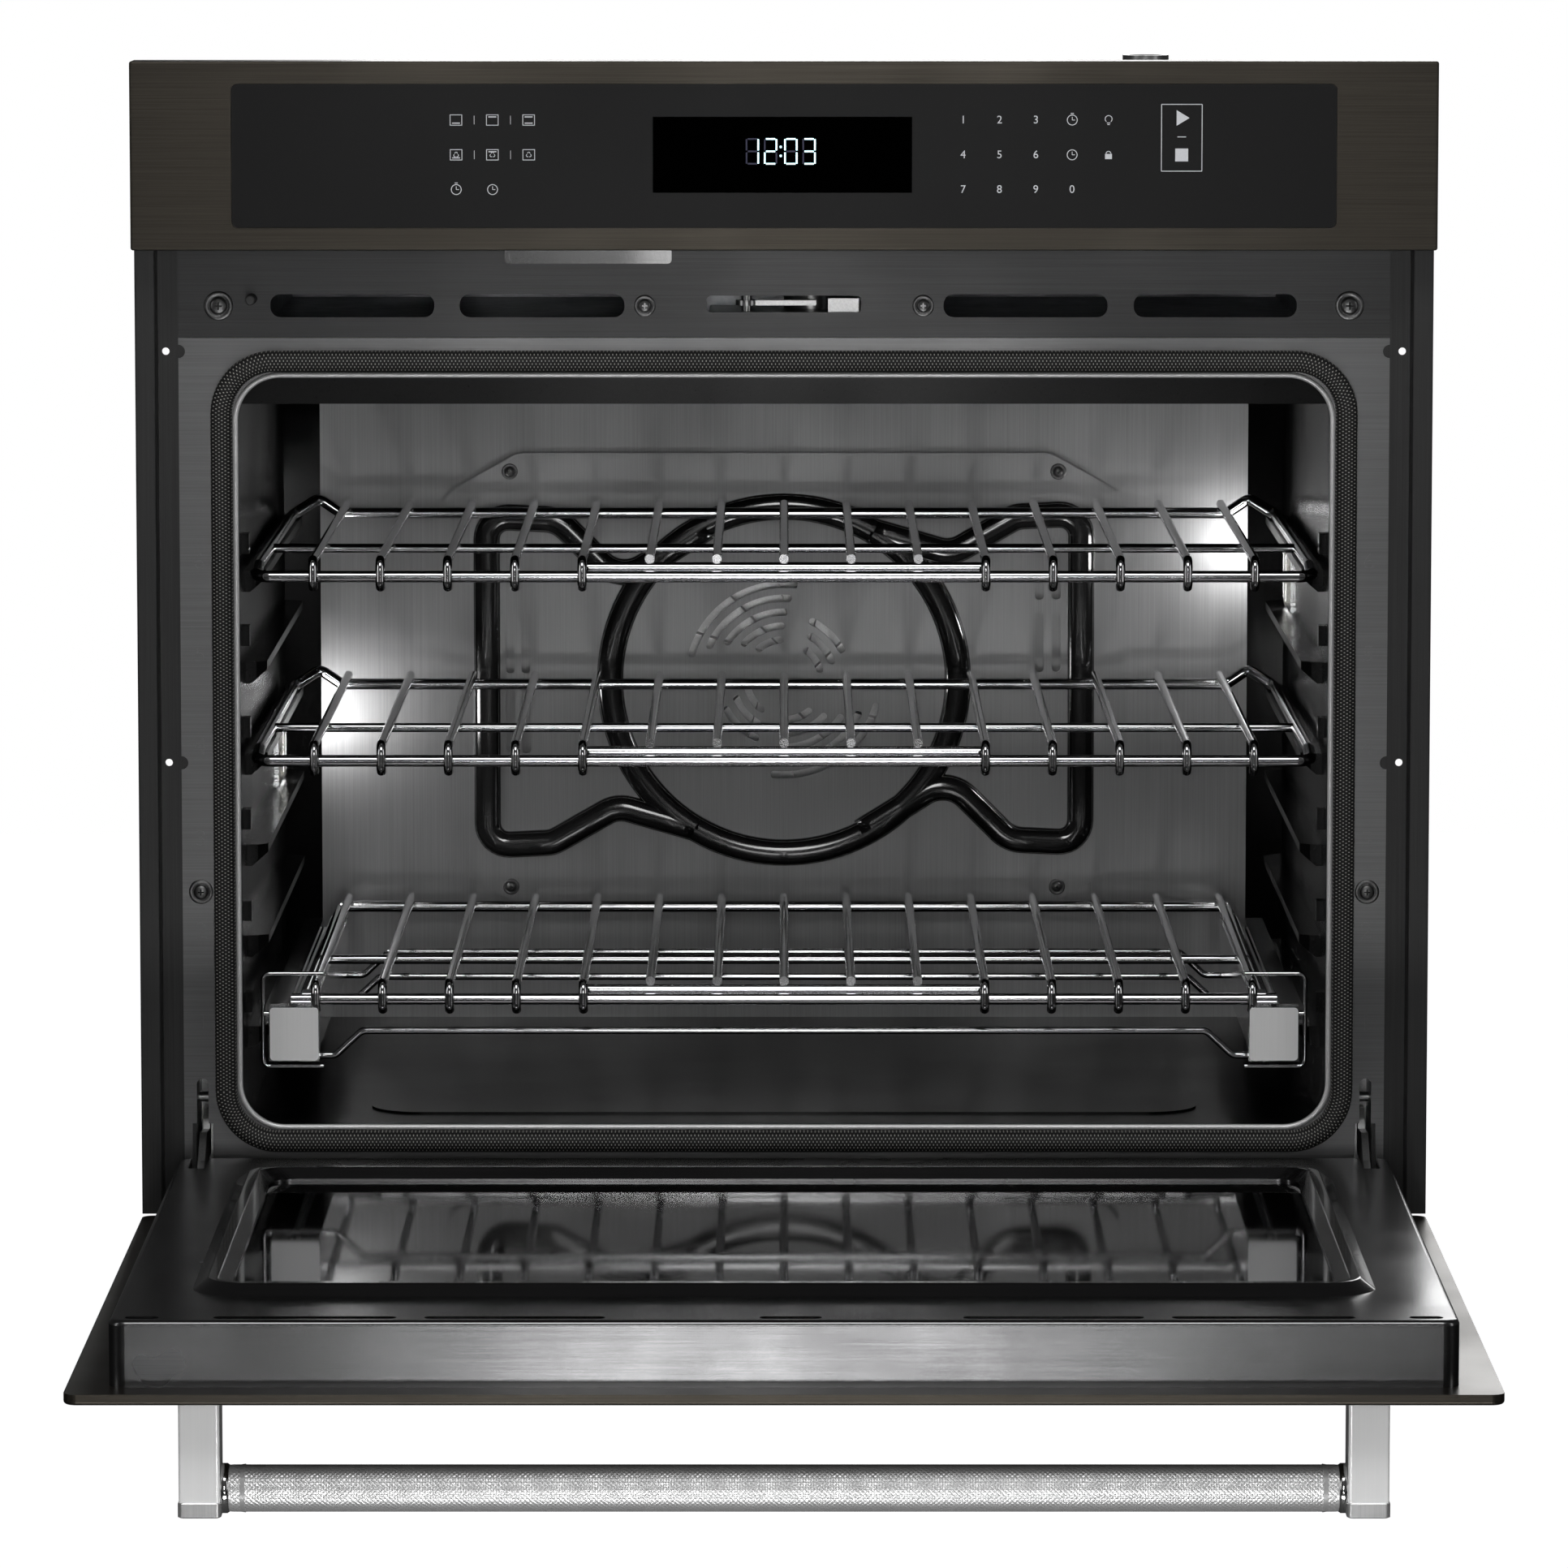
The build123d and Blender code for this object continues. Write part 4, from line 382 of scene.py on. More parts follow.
class Workshop:
    """Builds the materials once and turns mesh data into pieces that ride on a body."""

    def __init__(self) -> None:
        """Make every finish."""
        effects = Effects()
        self.materials = {name: finish.build(effects) for name, finish in FINISHES.items()}

    def dress_frame(self) -> None:
        """Give every CAD node the finish of its slot, or its own."""
        slots = {entry["node"]: entry["material_slot"] for entry in frame["record"]["subparts"]}
        for name, node in frame["nodes"].items():
            finish = OWN_FINISH.get(name, slots[name])
            node.data.materials.clear()
            node.data.materials.append(self.materials[finish])
            LOG.info("dressed %s in %s", name, finish)

    def piece(self, name: str, mesh: bpy.types.Mesh, finish: str, body: str, slot: str) -> bpy.types.Object:
        """Put a mesh in the scene as a piece of the object.

        Args:
            name: The piece's name.
            mesh: Its mesh, in the row frame.
            finish: The finish's key.
            body: The CAD body it moves with.
            slot: The record's material slot; not used.

        Returns:
            The new object.
        """
        piece = bpy.data.objects.new(name, mesh)
        bpy.context.scene.collection.objects.link(piece)
        mesh.materials.clear()
        mesh.materials.append(self.materials[finish])
        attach(piece, body)
        LOG.info("made %s with %d faces", name, len(mesh.polygons))
        return piece


def grid_mesh(name: str, rings: list[list[Vector]], closed: bool, smooth: bool = True) -> bpy.types.Mesh:
    """Join rings of points into a tube, closed on itself or with flat ends.

    Args:
        name: The mesh's name.
        rings: Rings of equally many points.
        closed: Whether the last ring joins the first.
        smooth: Whether the faces are shaded smooth.

    Returns:
        The mesh.
    """
    size = len(rings[0])
    points = [point for ring in rings for point in ring]
    faces = []
    count = len(rings)
    for i in range(count if closed else count - 1):
        a, b = i * size, ((i + 1) % count) * size
        faces += [(a + j, a + (j + 1) % size, b + (j + 1) % size, b + j) for j in range(size)]
    if not closed:
        faces.append(tuple(range(size))[::-1])
        faces.append(tuple(range((count - 1) * size, count * size)))
    mesh = bpy.data.meshes.new(name)
    mesh.from_pydata(points, [], faces)
    mesh.validate()
    for face in mesh.polygons:
        face.use_smooth = smooth and len(face.vertices) == 4
    return mesh


def rounded_route(corners: list[Spot], radii: list[float], closed: bool, step: float) -> list[Spot]:
    """Follow straight runs joined by tangent arcs.

    Args:
        corners: The route's corners.
        radii: The arc's radius at each turned corner.
        closed: Whether the route comes back to its start.
        step: The largest distance between two points.

    Returns:
        Points along the route.
    """
    count = len(corners)
    turned = range(count) if closed else range(1, count - 1)
    path: list[Spot] = [] if closed else [corners[0]]
    for place, i in enumerate(turned):
        here = Vector(corners[i])
        before = (Vector(corners[i - 1]) - here).normalized()
        after = (Vector(corners[(i + 1) % count]) - here).normalized()
        half = before.angle(after) / 2
        radius = radii[place]
        reach = radius / tan(half)
        centre = here + (before + after).normalized() * (radius / sin(half))
        first, last = here + before * reach, here + after * reach
        begin, end = first - centre, last - centre
        start = atan2(begin.y, begin.x)
        sweep = (atan2(end.y, end.x) - start + pi) % TURN - pi
        steps = max(4, int(abs(sweep) * radius / step) + 1)
        angles = [start + sweep * k / steps for k in range(steps + 1)]
        path += [tuple(centre + radius * Vector((cos(angle), sin(angle)))) for angle in angles]
    if not closed:
        path.append(corners[-1])
    return path


def subdivide(path: list[Spot], closed: bool, step: float) -> list[Spot]:
    """Add points along long runs, so that no two neighbours are further apart than a step.

    Args:
        path: The route's points.
        closed: Whether it comes back to its start.
        step: The largest distance.

    Returns:
        The finer route.
    """
    fine = []
    ends = path[1:] + (path[:1] if closed else [])
    for a, b in zip(path, ends):
        run, rise = b[0] - a[0], b[1] - a[1]
        pieces = max(1, int(hypot(run, rise) / step))
        fine += [(a[0] + run * k / pieces, a[1] + rise * k / pieces) for k in range(pieces)]
    return fine if closed else fine + [path[-1]]


# ---- sub-assemblies -----------------------------------------------------------------------


@dataclass
class HandleGrip:
    """The knurled sleeve round the door's bar handle, and the ring at each of its ends."""

    shop: Workshop
    radius: float = 12.45 * MM
    end_gap: float = 4.4 * MM
    pitch: float = 2.7 * MM
    depth: float = 0.22 * MM
    around: int = 168
    step: float = 0.7 * MM
    fade_rings: float = 3.0
    ring_sides: int = 48
    ring_profile: tuple[Spot, ...] = ((0.1, 12.9), (0.7, 13.4), (3.3, 13.4), (4.6, 12.5))

    def sleeve(self, start: float, end: float, y: float, z: float) -> None:
        """Make the sleeve with its crossed spiral ridges.

        Args:
            start: X of its left end.
            end: X of its right end.
            y: Y of the bar's axis.
            z: Z of the bar's axis.
        """
        rings = []
        count = int((end - start) / self.step)
        teeth = round(TURN * self.radius / self.pitch)
        for i in range(count + 1):
            x = start + (end - start) * i / count
            twist = pi * (x - start) / self.pitch
            fade = min(1.0, min(i, count - i) / self.fade_rings)
            ring = []
            for j in range(self.around):
                angle = TURN * j / self.around
                left_ridge = abs(sin(teeth * angle / 2 + twist))
                right_ridge = abs(sin(teeth * angle / 2 - twist))
                reach = self.radius + self.depth * min(left_ridge, right_ridge) * fade
                ring.append(Vector((x, y + reach * cos(angle), z + reach * sin(angle))))
            rings.append(ring)
        mesh = grid_mesh("handle_knurling", rings, False, False)
        self.shop.piece("handle_knurling", mesh, "grip", "door", "grip")

    def collar(self, name: str, face: float, side: int, y: float, z: float) -> None:
        """Turn the bevelled ring between the sleeve and a post.

        Args:
            name: The piece's name.
            face: X of the post's inner face.
            side: 1 where the sleeve lies towards +X, otherwise -1.
            y: Y of the bar's axis.
            z: Z of the bar's axis.
        """
        angles = [TURN * k / self.ring_sides for k in range(self.ring_sides)]
        rings = []
        for out, reach in self.ring_profile[::side]:
            x, reach = face + side * out * MM, reach * MM
            rings.append([Vector((x, y + reach * cos(angle), z + reach * sin(angle))) for angle in angles])
        self.shop.piece(name, grid_mesh(name, rings, False), "collar", "door", "grip")

    def build(self) -> None:
        """Make the sleeve and both rings."""
        low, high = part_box("handle_bar")
        y, z = (low.y + high.y) / 2, (low.z + high.z) / 2
        self.sleeve(low.x + self.end_gap, high.x - self.end_gap, y, z)
        self.collar("handle_collar_left", low.x, 1, y, z)
        self.collar("handle_collar_right", high.x, -1, y, z)


@dataclass
class DoorGasket:
    """The woven heat seal round the oven's mouth."""

    shop: Workshop
    width: float = 12.5 * MM
    corner: float = 31.0 * MM
    step: float = 1.7 * MM
    section: int = 16
    fullness: float = 0.45
    clearance: float = 0.1 * MM

    def build(self) -> None:
        """Sweep a domed strip round the mouth and map the weave on it."""
        low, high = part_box("door_gasket")
        back, height = high.y, high.y - low.y - self.clearance
        half = self.width / 2
        x0, x1, z0, z1 = low.x + half, high.x - half, low.z + half, high.z - half
        corners = [(x0, z0), (x1, z0), (x1, z1), (x0, z1)]
        path = subdivide(rounded_route(corners, [self.corner] * 4, True, self.step), True, self.step)
        count = len(path)
        angles = [pi * k / (self.section - 1) for k in range(self.section)]
        rings, run = [], [0.0]
        for i, (x, z) in enumerate(path):
            before, after = Vector(path[i - 1]), Vector(path[(i + 1) % count])
            along = (after - before).normalized()
            ring = []
            for angle in angles:
                offset, rise = half * cos(angle), height * max(sin(angle), 0.0) ** self.fullness
                ring.append(Vector((x + along.y * offset, back - rise, z - along.x * offset)))
            rings.append(ring)
            run.append(run[-1] + (after - Vector((x, z))).length)
        mesh = grid_mesh("door_gasket_weave", rings, True)
        layer = mesh.uv_layers.new(name="braid_map")
        for face in mesh.polygons:
            ring = face.index // self.section
            for corner, vertex in zip(face.loop_indices, face.vertices):
                along = run[ring] if vertex // self.section == ring else run[ring + 1]
                layer.data[corner].uv = (along / MM, half * cos(angles[vertex % self.section]) / MM)
        piece = self.shop.piece("door_gasket_weave", mesh, "gasket", "chassis", "gasket")
        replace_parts(piece, "door_gasket")


@dataclass
class BaffleBead:
    """The round bead that stands on the fan baffle: a ring with two wings, coloured near-black as a painted
    dark reflection.
    """

    shop: Workshop
    half_width: float = 8.6 * MM
    height: float = 6.9 * MM
    squareness: float = 3.4
    section: int = 20
    ring_radius: float = 112.5 * MM
    ring_points: int = 120
    wing: tuple[Spot, ...] = (
        (-50, 99), (-106, 64), (-146, 104), (-192, 106), (-192, -108), (-150, -106), (-108, -82), (-56, -97))
    bends: tuple[float, ...] = (22, 22, 14, 14, 16, 20)
    bend_step: float = 3.0 * MM
    run_step: float = 8.0 * MM

    def tube(self, name: str, route: list[Spot], closed: bool, plane: float, centre: float) -> None:
        """Sweep the bead's rounded section along a route in the baffle's plane.

        Args:
            name: The piece's name.
            route: Points in X and Z about the fan's axis, in metres.
            closed: Whether the route is a loop.
            plane: Y of the bead's centre line.
            centre: Z of the fan's axis.
        """
        section = []
        for k in range(self.section):
            a, b = cos(TURN * k / self.section), sin(TURN * k / self.section)
            reach = (abs(a) ** self.squareness + abs(b) ** self.squareness) ** (-1 / self.squareness)
            section.append((self.half_width * reach * a, self.height * reach * b))
        rings = []
        last = len(route) - 1
        for i, (x, z) in enumerate(route):
            before = Vector(route[i - 1] if closed or i else route[0])
            after = Vector(route[0 if closed and i == last else min(i + 1, last)])
            along = (after - before).normalized()
            rings.append([Vector((x + along.y * offset, plane + rise, centre + z - along.x * offset))
                          for offset, rise in section])
        self.shop.piece(name, grid_mesh(name, rings, closed), "bead_painted_dark", "chassis", "baffle_enamel")

    def build(self) -> None:
        """Make the ring and both wings."""
        low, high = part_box("fan_baffle")
        plane, centre = low.y + BEAD_RISE, (low.z + high.z) / 2
        angles = [TURN * k / self.ring_points for k in range(self.ring_points)]
        ring = [(self.ring_radius * cos(angle), self.ring_radius * sin(angle)) for angle in angles]
        self.tube("baffle_bead_ring", ring, True, plane, centre)
        radii = [bend * MM for bend in self.bends]
        for name, turn in (("baffle_bead_left", 1), ("baffle_bead_right", -1)):
            corners = [(turn * x * MM, turn * z * MM) for x, z in self.wing]
            route = subdivide(rounded_route(corners, radii, False, self.bend_step), False, self.run_step)
            self.tube(name, route, False, plane, centre)


class Glyph:
    """Collects thin raised marks on a plane that faces the front."""

    SINK = 0.01 * MM  # how far a mark's back stays in front of its surface
    TEXT_SCALE = 1.42  # text size for a digit of height 1
    ARC_STEP = 15  # degrees between two points of a curved stroke

    def __init__(self, face: float, thick: float = 0.12 * MM) -> None:
        """Start an empty set of marks.

        Args:
            face: Y of the surface that they lie on.
            thick: How far they stand out.
        """
        self.face = face
        self.thick = thick
        self.mesh = bmesh.new()

    def prism(self, outline: list[Spot]) -> None:
        """Add one closed mark.

        Args:
            outline: Its outline in X and Z, in metres.
        """
        front = [self.mesh.verts.new((x, self.face - self.thick, z)) for x, z in outline]
        back = [self.mesh.verts.new((x, self.face - self.SINK, z)) for x, z in outline]
        self.mesh.faces.new(front)
        self.mesh.faces.new(back[::-1])
        count = len(outline)
        for i in range(count):
            j = (i + 1) % count
            self.mesh.faces.new((front[j], front[i], back[i], back[j]))

    def bar(self, x: float, z: float, width: float, height: float) -> None:
        """Add a rectangle, in millimetres.

        Args:
            x: Its centre.
            z: Its centre.
            width: Its size along X.
            height: Its size along Z.
        """
        corners = ((-1, -1), (1, -1), (1, 1), (-1, 1))
        self.prism([((x + a * width / 2) * MM, (z + b * height / 2) * MM) for a, b in corners])

    def frame(self, x: float, z: float, width: float, height: float, line: float) -> None:
        """Add a rectangle's four edges, in millimetres.

        Args:
            x: Its centre.
            z: Its centre.
            width: Its size along X.
            height: Its size along Z.
            line: The edges' thickness.
        """
        for edge in (-1, 1):
            self.bar(x + edge * width / 2, z, line, height)
            self.bar(x, z + edge * height / 2, width, line)

    def arc(self, x: float, z: float, radius: float, start: float, sweep: float, line: float = 0.45) -> None:
        """Add a curved stroke, in millimetres and degrees.

        Args:
            x: Its centre.
            z: Its centre.
            radius: Its middle radius.
            start: Where it begins.
            sweep: How far it turns.
            line: Its thickness.
        """
        steps = max(3, int(sweep / self.ARC_STEP))
        inner, outer = radius - line / 2, radius + line / 2
        for i in range(steps):
            a, b = radians(start + sweep * i / steps), radians(start + sweep * (i + 1) / steps)
            self.prism([((x + r * cos(t)) * MM, (z + r * sin(t)) * MM)
                        for r, t in ((inner, a), (outer, a), (outer, b), (inner, b))])

    def text(self, words: str, x: float, z: float, height: float) -> None:
        """Add digits centred on a point, in millimetres.

        Args:
            words: The digits.
            x: Their centre.
            z: Their centre.
            height: How tall a digit is.
        """
        curve = bpy.data.curves.new("digits", "FONT")
        curve.body = words
        curve.align_x, curve.align_y = "CENTER", "CENTER"
        curve.size = height * self.TEXT_SCALE * MM
        curve.extrude = self.thick / 2
        curve.resolution_u = 4
        holder = bpy.data.objects.new("digits", curve)
        bpy.context.scene.collection.objects.link(holder)
        bpy.context.view_layer.update()
        solid = bpy.data.meshes.new_from_object(holder)
        place = Matrix.Translation((x * MM, self.face - self.thick / 2, z * MM))
        solid.transform(place @ Matrix.Rotation(pi / 2, 4, "X"))
        self.mesh.from_mesh(solid)
        bpy.data.objects.remove(holder)
        bpy.data.meshes.remove(solid)

    def finish(self, name: str) -> bpy.types.Mesh:
        """Close the set of marks.

        Args:
            name: The mesh's name.

        Returns:
            The marks as one mesh.
        """
        bmesh.ops.recalc_face_normals(self.mesh, faces=self.mesh.faces)
        mesh = bpy.data.meshes.new(name)
        self.mesh.to_mesh(mesh)
        self.mesh.free()
        return mesh


class Key(Enum):
    """Plain function symbols that take the place of words on the touch panel."""

    LOWER_HEAT = "lower_heat"
    UPPER_HEAT = "upper_heat"
    BOTH_HEATS = "both_heats"
    FAN_LOWER = "fan_lower"
    FAN_UPPER = "fan_upper"
    FAN = "fan"
    TIMER = "timer"
    CLOCK = "clock"
    LAMP = "lamp"
    LOCK = "lock"


OVEN_KEYS = (Key.LOWER_HEAT, Key.UPPER_HEAT, Key.BOTH_HEATS, Key.FAN_LOWER, Key.FAN_UPPER, Key.FAN)
LOWER_KEYS = (Key.LOWER_HEAT, Key.BOTH_HEATS, Key.FAN_LOWER)
UPPER_KEYS = (Key.UPPER_HEAT, Key.BOTH_HEATS, Key.FAN_UPPER)
FAN_KEYS = (Key.FAN_LOWER, Key.FAN_UPPER, Key.FAN)


@dataclass
class ControlPanel:
    """Legends, clock and display window of the touch panel, in millimetres."""

    shop: Workshop
    column: float = 21.15
    row: float = 20.2
    first_row: float = 687.9
    left_column: float = -190.9
    right_column: float = 104.3
    thin: float = 0.4
    line: float = 0.45
    oven: Spot = (6.8, 6.0)
    digit_height: float = 4.6
    start_box: tuple[float, float, float, float] = (231.5, 677.6, 23.6, 38.8)
    clock_low: float = 662.0
    clock_high: float = 677.4
    clock_left: float = -18.4
    clock_right: float = 4.0
    digit_width: float = 8.2
    digit_pitch: float = 10.6
    stroke: float = 0.95
    colon_reach: float = 2.6
    time: tuple[str, ...] = ("bc", "abged", "abcdef", "abgcd")
    window_inset: float = 3.0
    window_rise: float = 0.05
    unlit_rise: float = 0.06

    def symbol(self, marks: Glyph, key: Key, x: float, z: float) -> None:
        """Draw one function symbol.

        Args:
            marks: The set of marks that it joins.
            key: Which symbol.
            x: Its centre.
            z: Its centre.
        """
        if key in OVEN_KEYS:
            width, height = self.oven
            for edge in (-1, 1):
                marks.bar(x + edge * width / 2, z, self.thin, height)
                marks.bar(x, z + edge * height / 2, width + self.thin, self.thin)
        for keys, side in ((LOWER_KEYS, -1), (UPPER_KEYS, 1)):
            if key in keys:
                marks.bar(x, z + side * 1.8, 4.6, 0.6)
        if key in FAN_KEYS:
            reach = 0.75
            for turn in (0, 120, 240):
                angle = radians(90 + turn)
                marks.arc(x + reach * cos(angle), z + reach * sin(angle), reach, turn, 180, self.thin)
        if key in (Key.TIMER, Key.CLOCK):
            marks.arc(x, z, 2.9, 0, 360)
            marks.bar(x, z + 0.9, self.thin, 1.9)
            marks.bar(x + 0.8, z, 1.6, self.thin)
        if key is Key.TIMER:
            marks.bar(x, z + 3.8, 1.8, 0.5)
        if key is Key.LAMP:
            marks.arc(x, z + 0.6, 2.0, -50, 280)
            marks.bar(x, z - 1.7, 2.0, 0.5)
            marks.bar(x, z - 2.6, 1.4, 0.5)
        if key is Key.LOCK:
            marks.bar(x, z - 1.0, 4.0, 3.0)
            marks.arc(x, z + 0.6, 1.4, 0, 180)

    def start_keys(self, marks: Glyph) -> None:
        """Draw the framed start and stop keys.

        Args:
            marks: The set of marks that they join.
        """
        x, z, width, height = self.start_box
        marks.frame(x, z, width, height, self.line)
        arrow = ((-3.0, 7.0), (4.5, 11.5), (-3.0, 16.0))
        marks.prism([((x + a) * MM, (z + b) * MM) for a, b in arrow])
        marks.bar(x, z + 0.5, 5.0, self.line)
        marks.bar(x, z - 10, 7.5, 7.5)

    def legends(self, face: float) -> None:
        """Draw every key's mark on the glass.

        Args:
            face: Y of the glass's front.
        """
        marks = Glyph(face)
        rows = [self.first_row - i * self.row for i in range(3)]
        left = [self.left_column + i * self.column for i in range(3)]
        keys = (OVEN_KEYS[:3], OVEN_KEYS[3:], (Key.TIMER, Key.CLOCK))
        for z, line in zip(rows, keys):
            for x, key in zip(left, line):
                self.symbol(marks, key, x, z)
        for z in rows[:2]:
            for x in left[:2]:
                marks.bar(x + self.column / 2, z, 0.3, 5.0)
        right = [self.right_column + i * self.column for i in range(5)]
        for i, z in enumerate(rows):
            for j in range(3):
                marks.text(str(i * 3 + j + 1), right[j], z, self.digit_height)
        marks.text("0", right[3], rows[2], self.digit_height)
        for z, line in zip(rows, ((Key.TIMER, Key.LAMP), (Key.CLOCK, Key.LOCK))):
            for x, key in zip(right[3:], line):
                self.symbol(marks, key, x, z)
        self.start_keys(marks)
        self.shop.piece("panel_legends", marks.finish("panel_legends"), "legend", "chassis", "control_glass")

    def clock(self, face: float) -> None:
        """Draw the clock's lit and unlit segments.

        Args:
            face: Y of the display window's front.
        """
        lit, unlit = Glyph(face), Glyph(face, self.unlit_rise * MM)
        middle = (self.clock_low + self.clock_high) / 2
        half = (self.clock_high - self.clock_low) / 2
        starts = (self.clock_left, self.clock_right)
        centres = [start + step for start in starts for step in (0, self.digit_pitch)]
        width = self.digit_width / 2 - 1.4
        side, upright, end = width + 0.7, half - 1.2, half - 0.5
        for shown, x in zip(self.time, centres):
            spots = {
                "a": (x, middle + end, 2 * width, self.stroke),
                "g": (x, middle, 2 * width, self.stroke),
                "d": (x, middle - end, 2 * width, self.stroke),
                "b": (x + side, middle + half / 2, self.stroke, upright),
                "c": (x + side, middle - half / 2, self.stroke, upright),
                "f": (x - side, middle + half / 2, self.stroke, upright),
                "e": (x - side, middle - half / 2, self.stroke, upright),
            }
            for segment, spot in spots.items():
                (lit if segment in shown else unlit).bar(*spot)
        colon = (centres[1] + centres[2]) / 2
        for z in (middle - self.colon_reach, middle + self.colon_reach):
            lit.bar(colon, z, 1.2, 1.2)
        self.shop.piece("clock_digits", lit.finish("clock_digits"), "clock", "chassis", "display")
        ghost = unlit.finish("clock_unlit_digits")
        self.shop.piece("clock_unlit_digits", ghost, "ghost", "chassis", "display")

    def window(self, face: float) -> float:
        """Lay the darker display window on the glass.

        Args:
            face: Y of the glass's front.

        Returns:
            Y of the window's own front.
        """
        low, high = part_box("display_module")
        inset, rise = self.window_inset * MM, self.window_rise * MM
        x0, x1, z0, z1 = low.x + inset, high.x - inset, low.z + inset, high.z - inset
        window = Glyph(face, rise)
        window.prism([(x0, z0), (x1, z0), (x1, z1), (x0, z1)])
        self.shop.piece("display_window", window.finish("display_window"), "display", "chassis", "display")
        return face - rise

    def build(self) -> None:
        """Make the window, the clock and the legends."""
        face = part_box("control_glass")[0].y
        self.clock(self.window(face))
        self.legends(face)


@dataclass
class FrameNumbers:
    """Raised rack-level numbers on both sides of the front frame, in millimetres."""

    shop: Workshop
    first: float = 425.0
    pitch: float = 55.0
    levels: int = 6
    side: float = 346.0
    height: float = 10.0
    rise: float = 0.25
    screw: float = 229.0
    screw_room: float = 20.0

    def build(self) -> None:
        """Stamp the numbers from the highest level down, past the frame's side screws."""
        marks = Glyph(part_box("front_frame")[0].y, self.rise * MM)
        for i in range(self.levels):
            z = self.first - i * self.pitch
            if abs(z - self.screw) > self.screw_room:
                for side in (-1, 1):
                    marks.text(str(self.levels - i), side * self.side, z, self.height)
        mesh = marks.finish("rack_level_numbers")
        self.shop.piece("rack_level_numbers", mesh, "frame_steel", "chassis", "frame_steel")


@dataclass
class CavityRim:
    """The rolled edge round the oven's mouth, in frame steel coloured light as a painted highlight."""

    shop: Workshop
    half_width: float = 322.0 * MM
    low: float = 89.5 * MM
    high: float = 534.5 * MM
    corner: float = 26.7 * MM
    bead: float = 1.65 * MM
    bend_step: float = 2.5 * MM
    run_step: float = 12.0 * MM
    section: int = 9

    def build(self) -> None:
        """Sweep a half-round bead just outside the mouth's edge."""
        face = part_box("front_frame")[0].y
        x, z0, z1 = self.half_width + self.bead, self.low - self.bead, self.high + self.bead
        corners = [(-x, z0), (x, z0), (x, z1), (-x, z1)]
        route = rounded_route(corners, [self.corner] * 4, True, self.bend_step)
        route = subdivide(route, True, self.run_step)
        angles = [pi * k / (self.section - 1) for k in range(self.section)]
        section = [(self.bead * cos(angle), self.bead * sin(angle)) for angle in angles]
        rings = []
        for i, (px, pz) in enumerate(route):
            along = (Vector(route[(i + 1) % len(route)]) - Vector(route[i - 1])).normalized()
            rings.append([Vector((px + along.y * offset, face - rise, pz - along.x * offset))
                          for offset, rise in section])
        self.shop.piece("opening_rim", grid_mesh("opening_rim", rings, True), "rim", "chassis", "frame_steel")


@dataclass
class PostBands:
    """The stepped end caps on the handle's posts."""

    shop: Workshop
    width: float = 22.0 * MM
    height: float = 8.6 * MM
    corner: float = 2.2 * MM
    proud: float = 0.55 * MM
    bevel: float = 0.7 * MM
    lift: float = 0.05 * MM
    lap: float = 0.02 * MM
    bend_step: float = 0.5 * MM

    def build(self) -> None:
        """Slip a bevelled sleeve over the end of each post."""
        low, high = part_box("handle_posts")
        inner, outer = high.x - self.width, high.x
        base, top = low.z + self.lift, low.z + self.height
        levels = ((base, -self.bevel), (base + self.bevel, self.proud),
                  (top - self.bevel, self.proud), (top, self.lap))
        for name, side in (("post_band_left", -1), ("post_band_right", 1)):
            left, right = sorted((side * inner, side * outer))
            rings = []
            for z, grow in levels:
                x0, x1, y0, y1 = left - grow, right + grow, low.y - grow, high.y + grow
                corners = [(x0, y0), (x1, y0), (x1, y1), (x0, y1)]
                outline = rounded_route(corners, [self.corner] * 4, True, self.bend_step)
                rings.append([Vector((x, y, z)) for x, y in outline])
            self.shop.piece(name, grid_mesh(name, rings, False, False), "band", "door", "polished")


@dataclass
class GlideCaps:
    """Near-white covers on the front ends of the roll-out rack's chrome members, as a painted highlight."""

    shop: Workshop
    inner: float = 277.6 * MM
    outer: float = 306.4 * MM
    low: float = 126.1 * MM
    high: float = 157.8 * MM
    face: float = -287.0 * MM
    corner: float = 2.2 * MM
    thick: float = 0.6 * MM
    bend_step: float = 0.4 * MM

    def build(self) -> None:
        """Lay a rounded cover on each end."""
        marks = Glyph(self.face, self.thick)
        for side in (-1, 1):
            x0, x1 = sorted((side * self.inner, side * self.outer))
            corners = [(x0, self.low), (x1, self.low), (x1, self.high), (x0, self.high)]
            marks.prism(rounded_route(corners, [self.corner] * 4, True, self.bend_step))
        mesh = marks.finish("roll_out_end_caps")
        self.shop.piece("roll_out_end_caps", mesh, "cap", "roll_out_rack", "chrome")


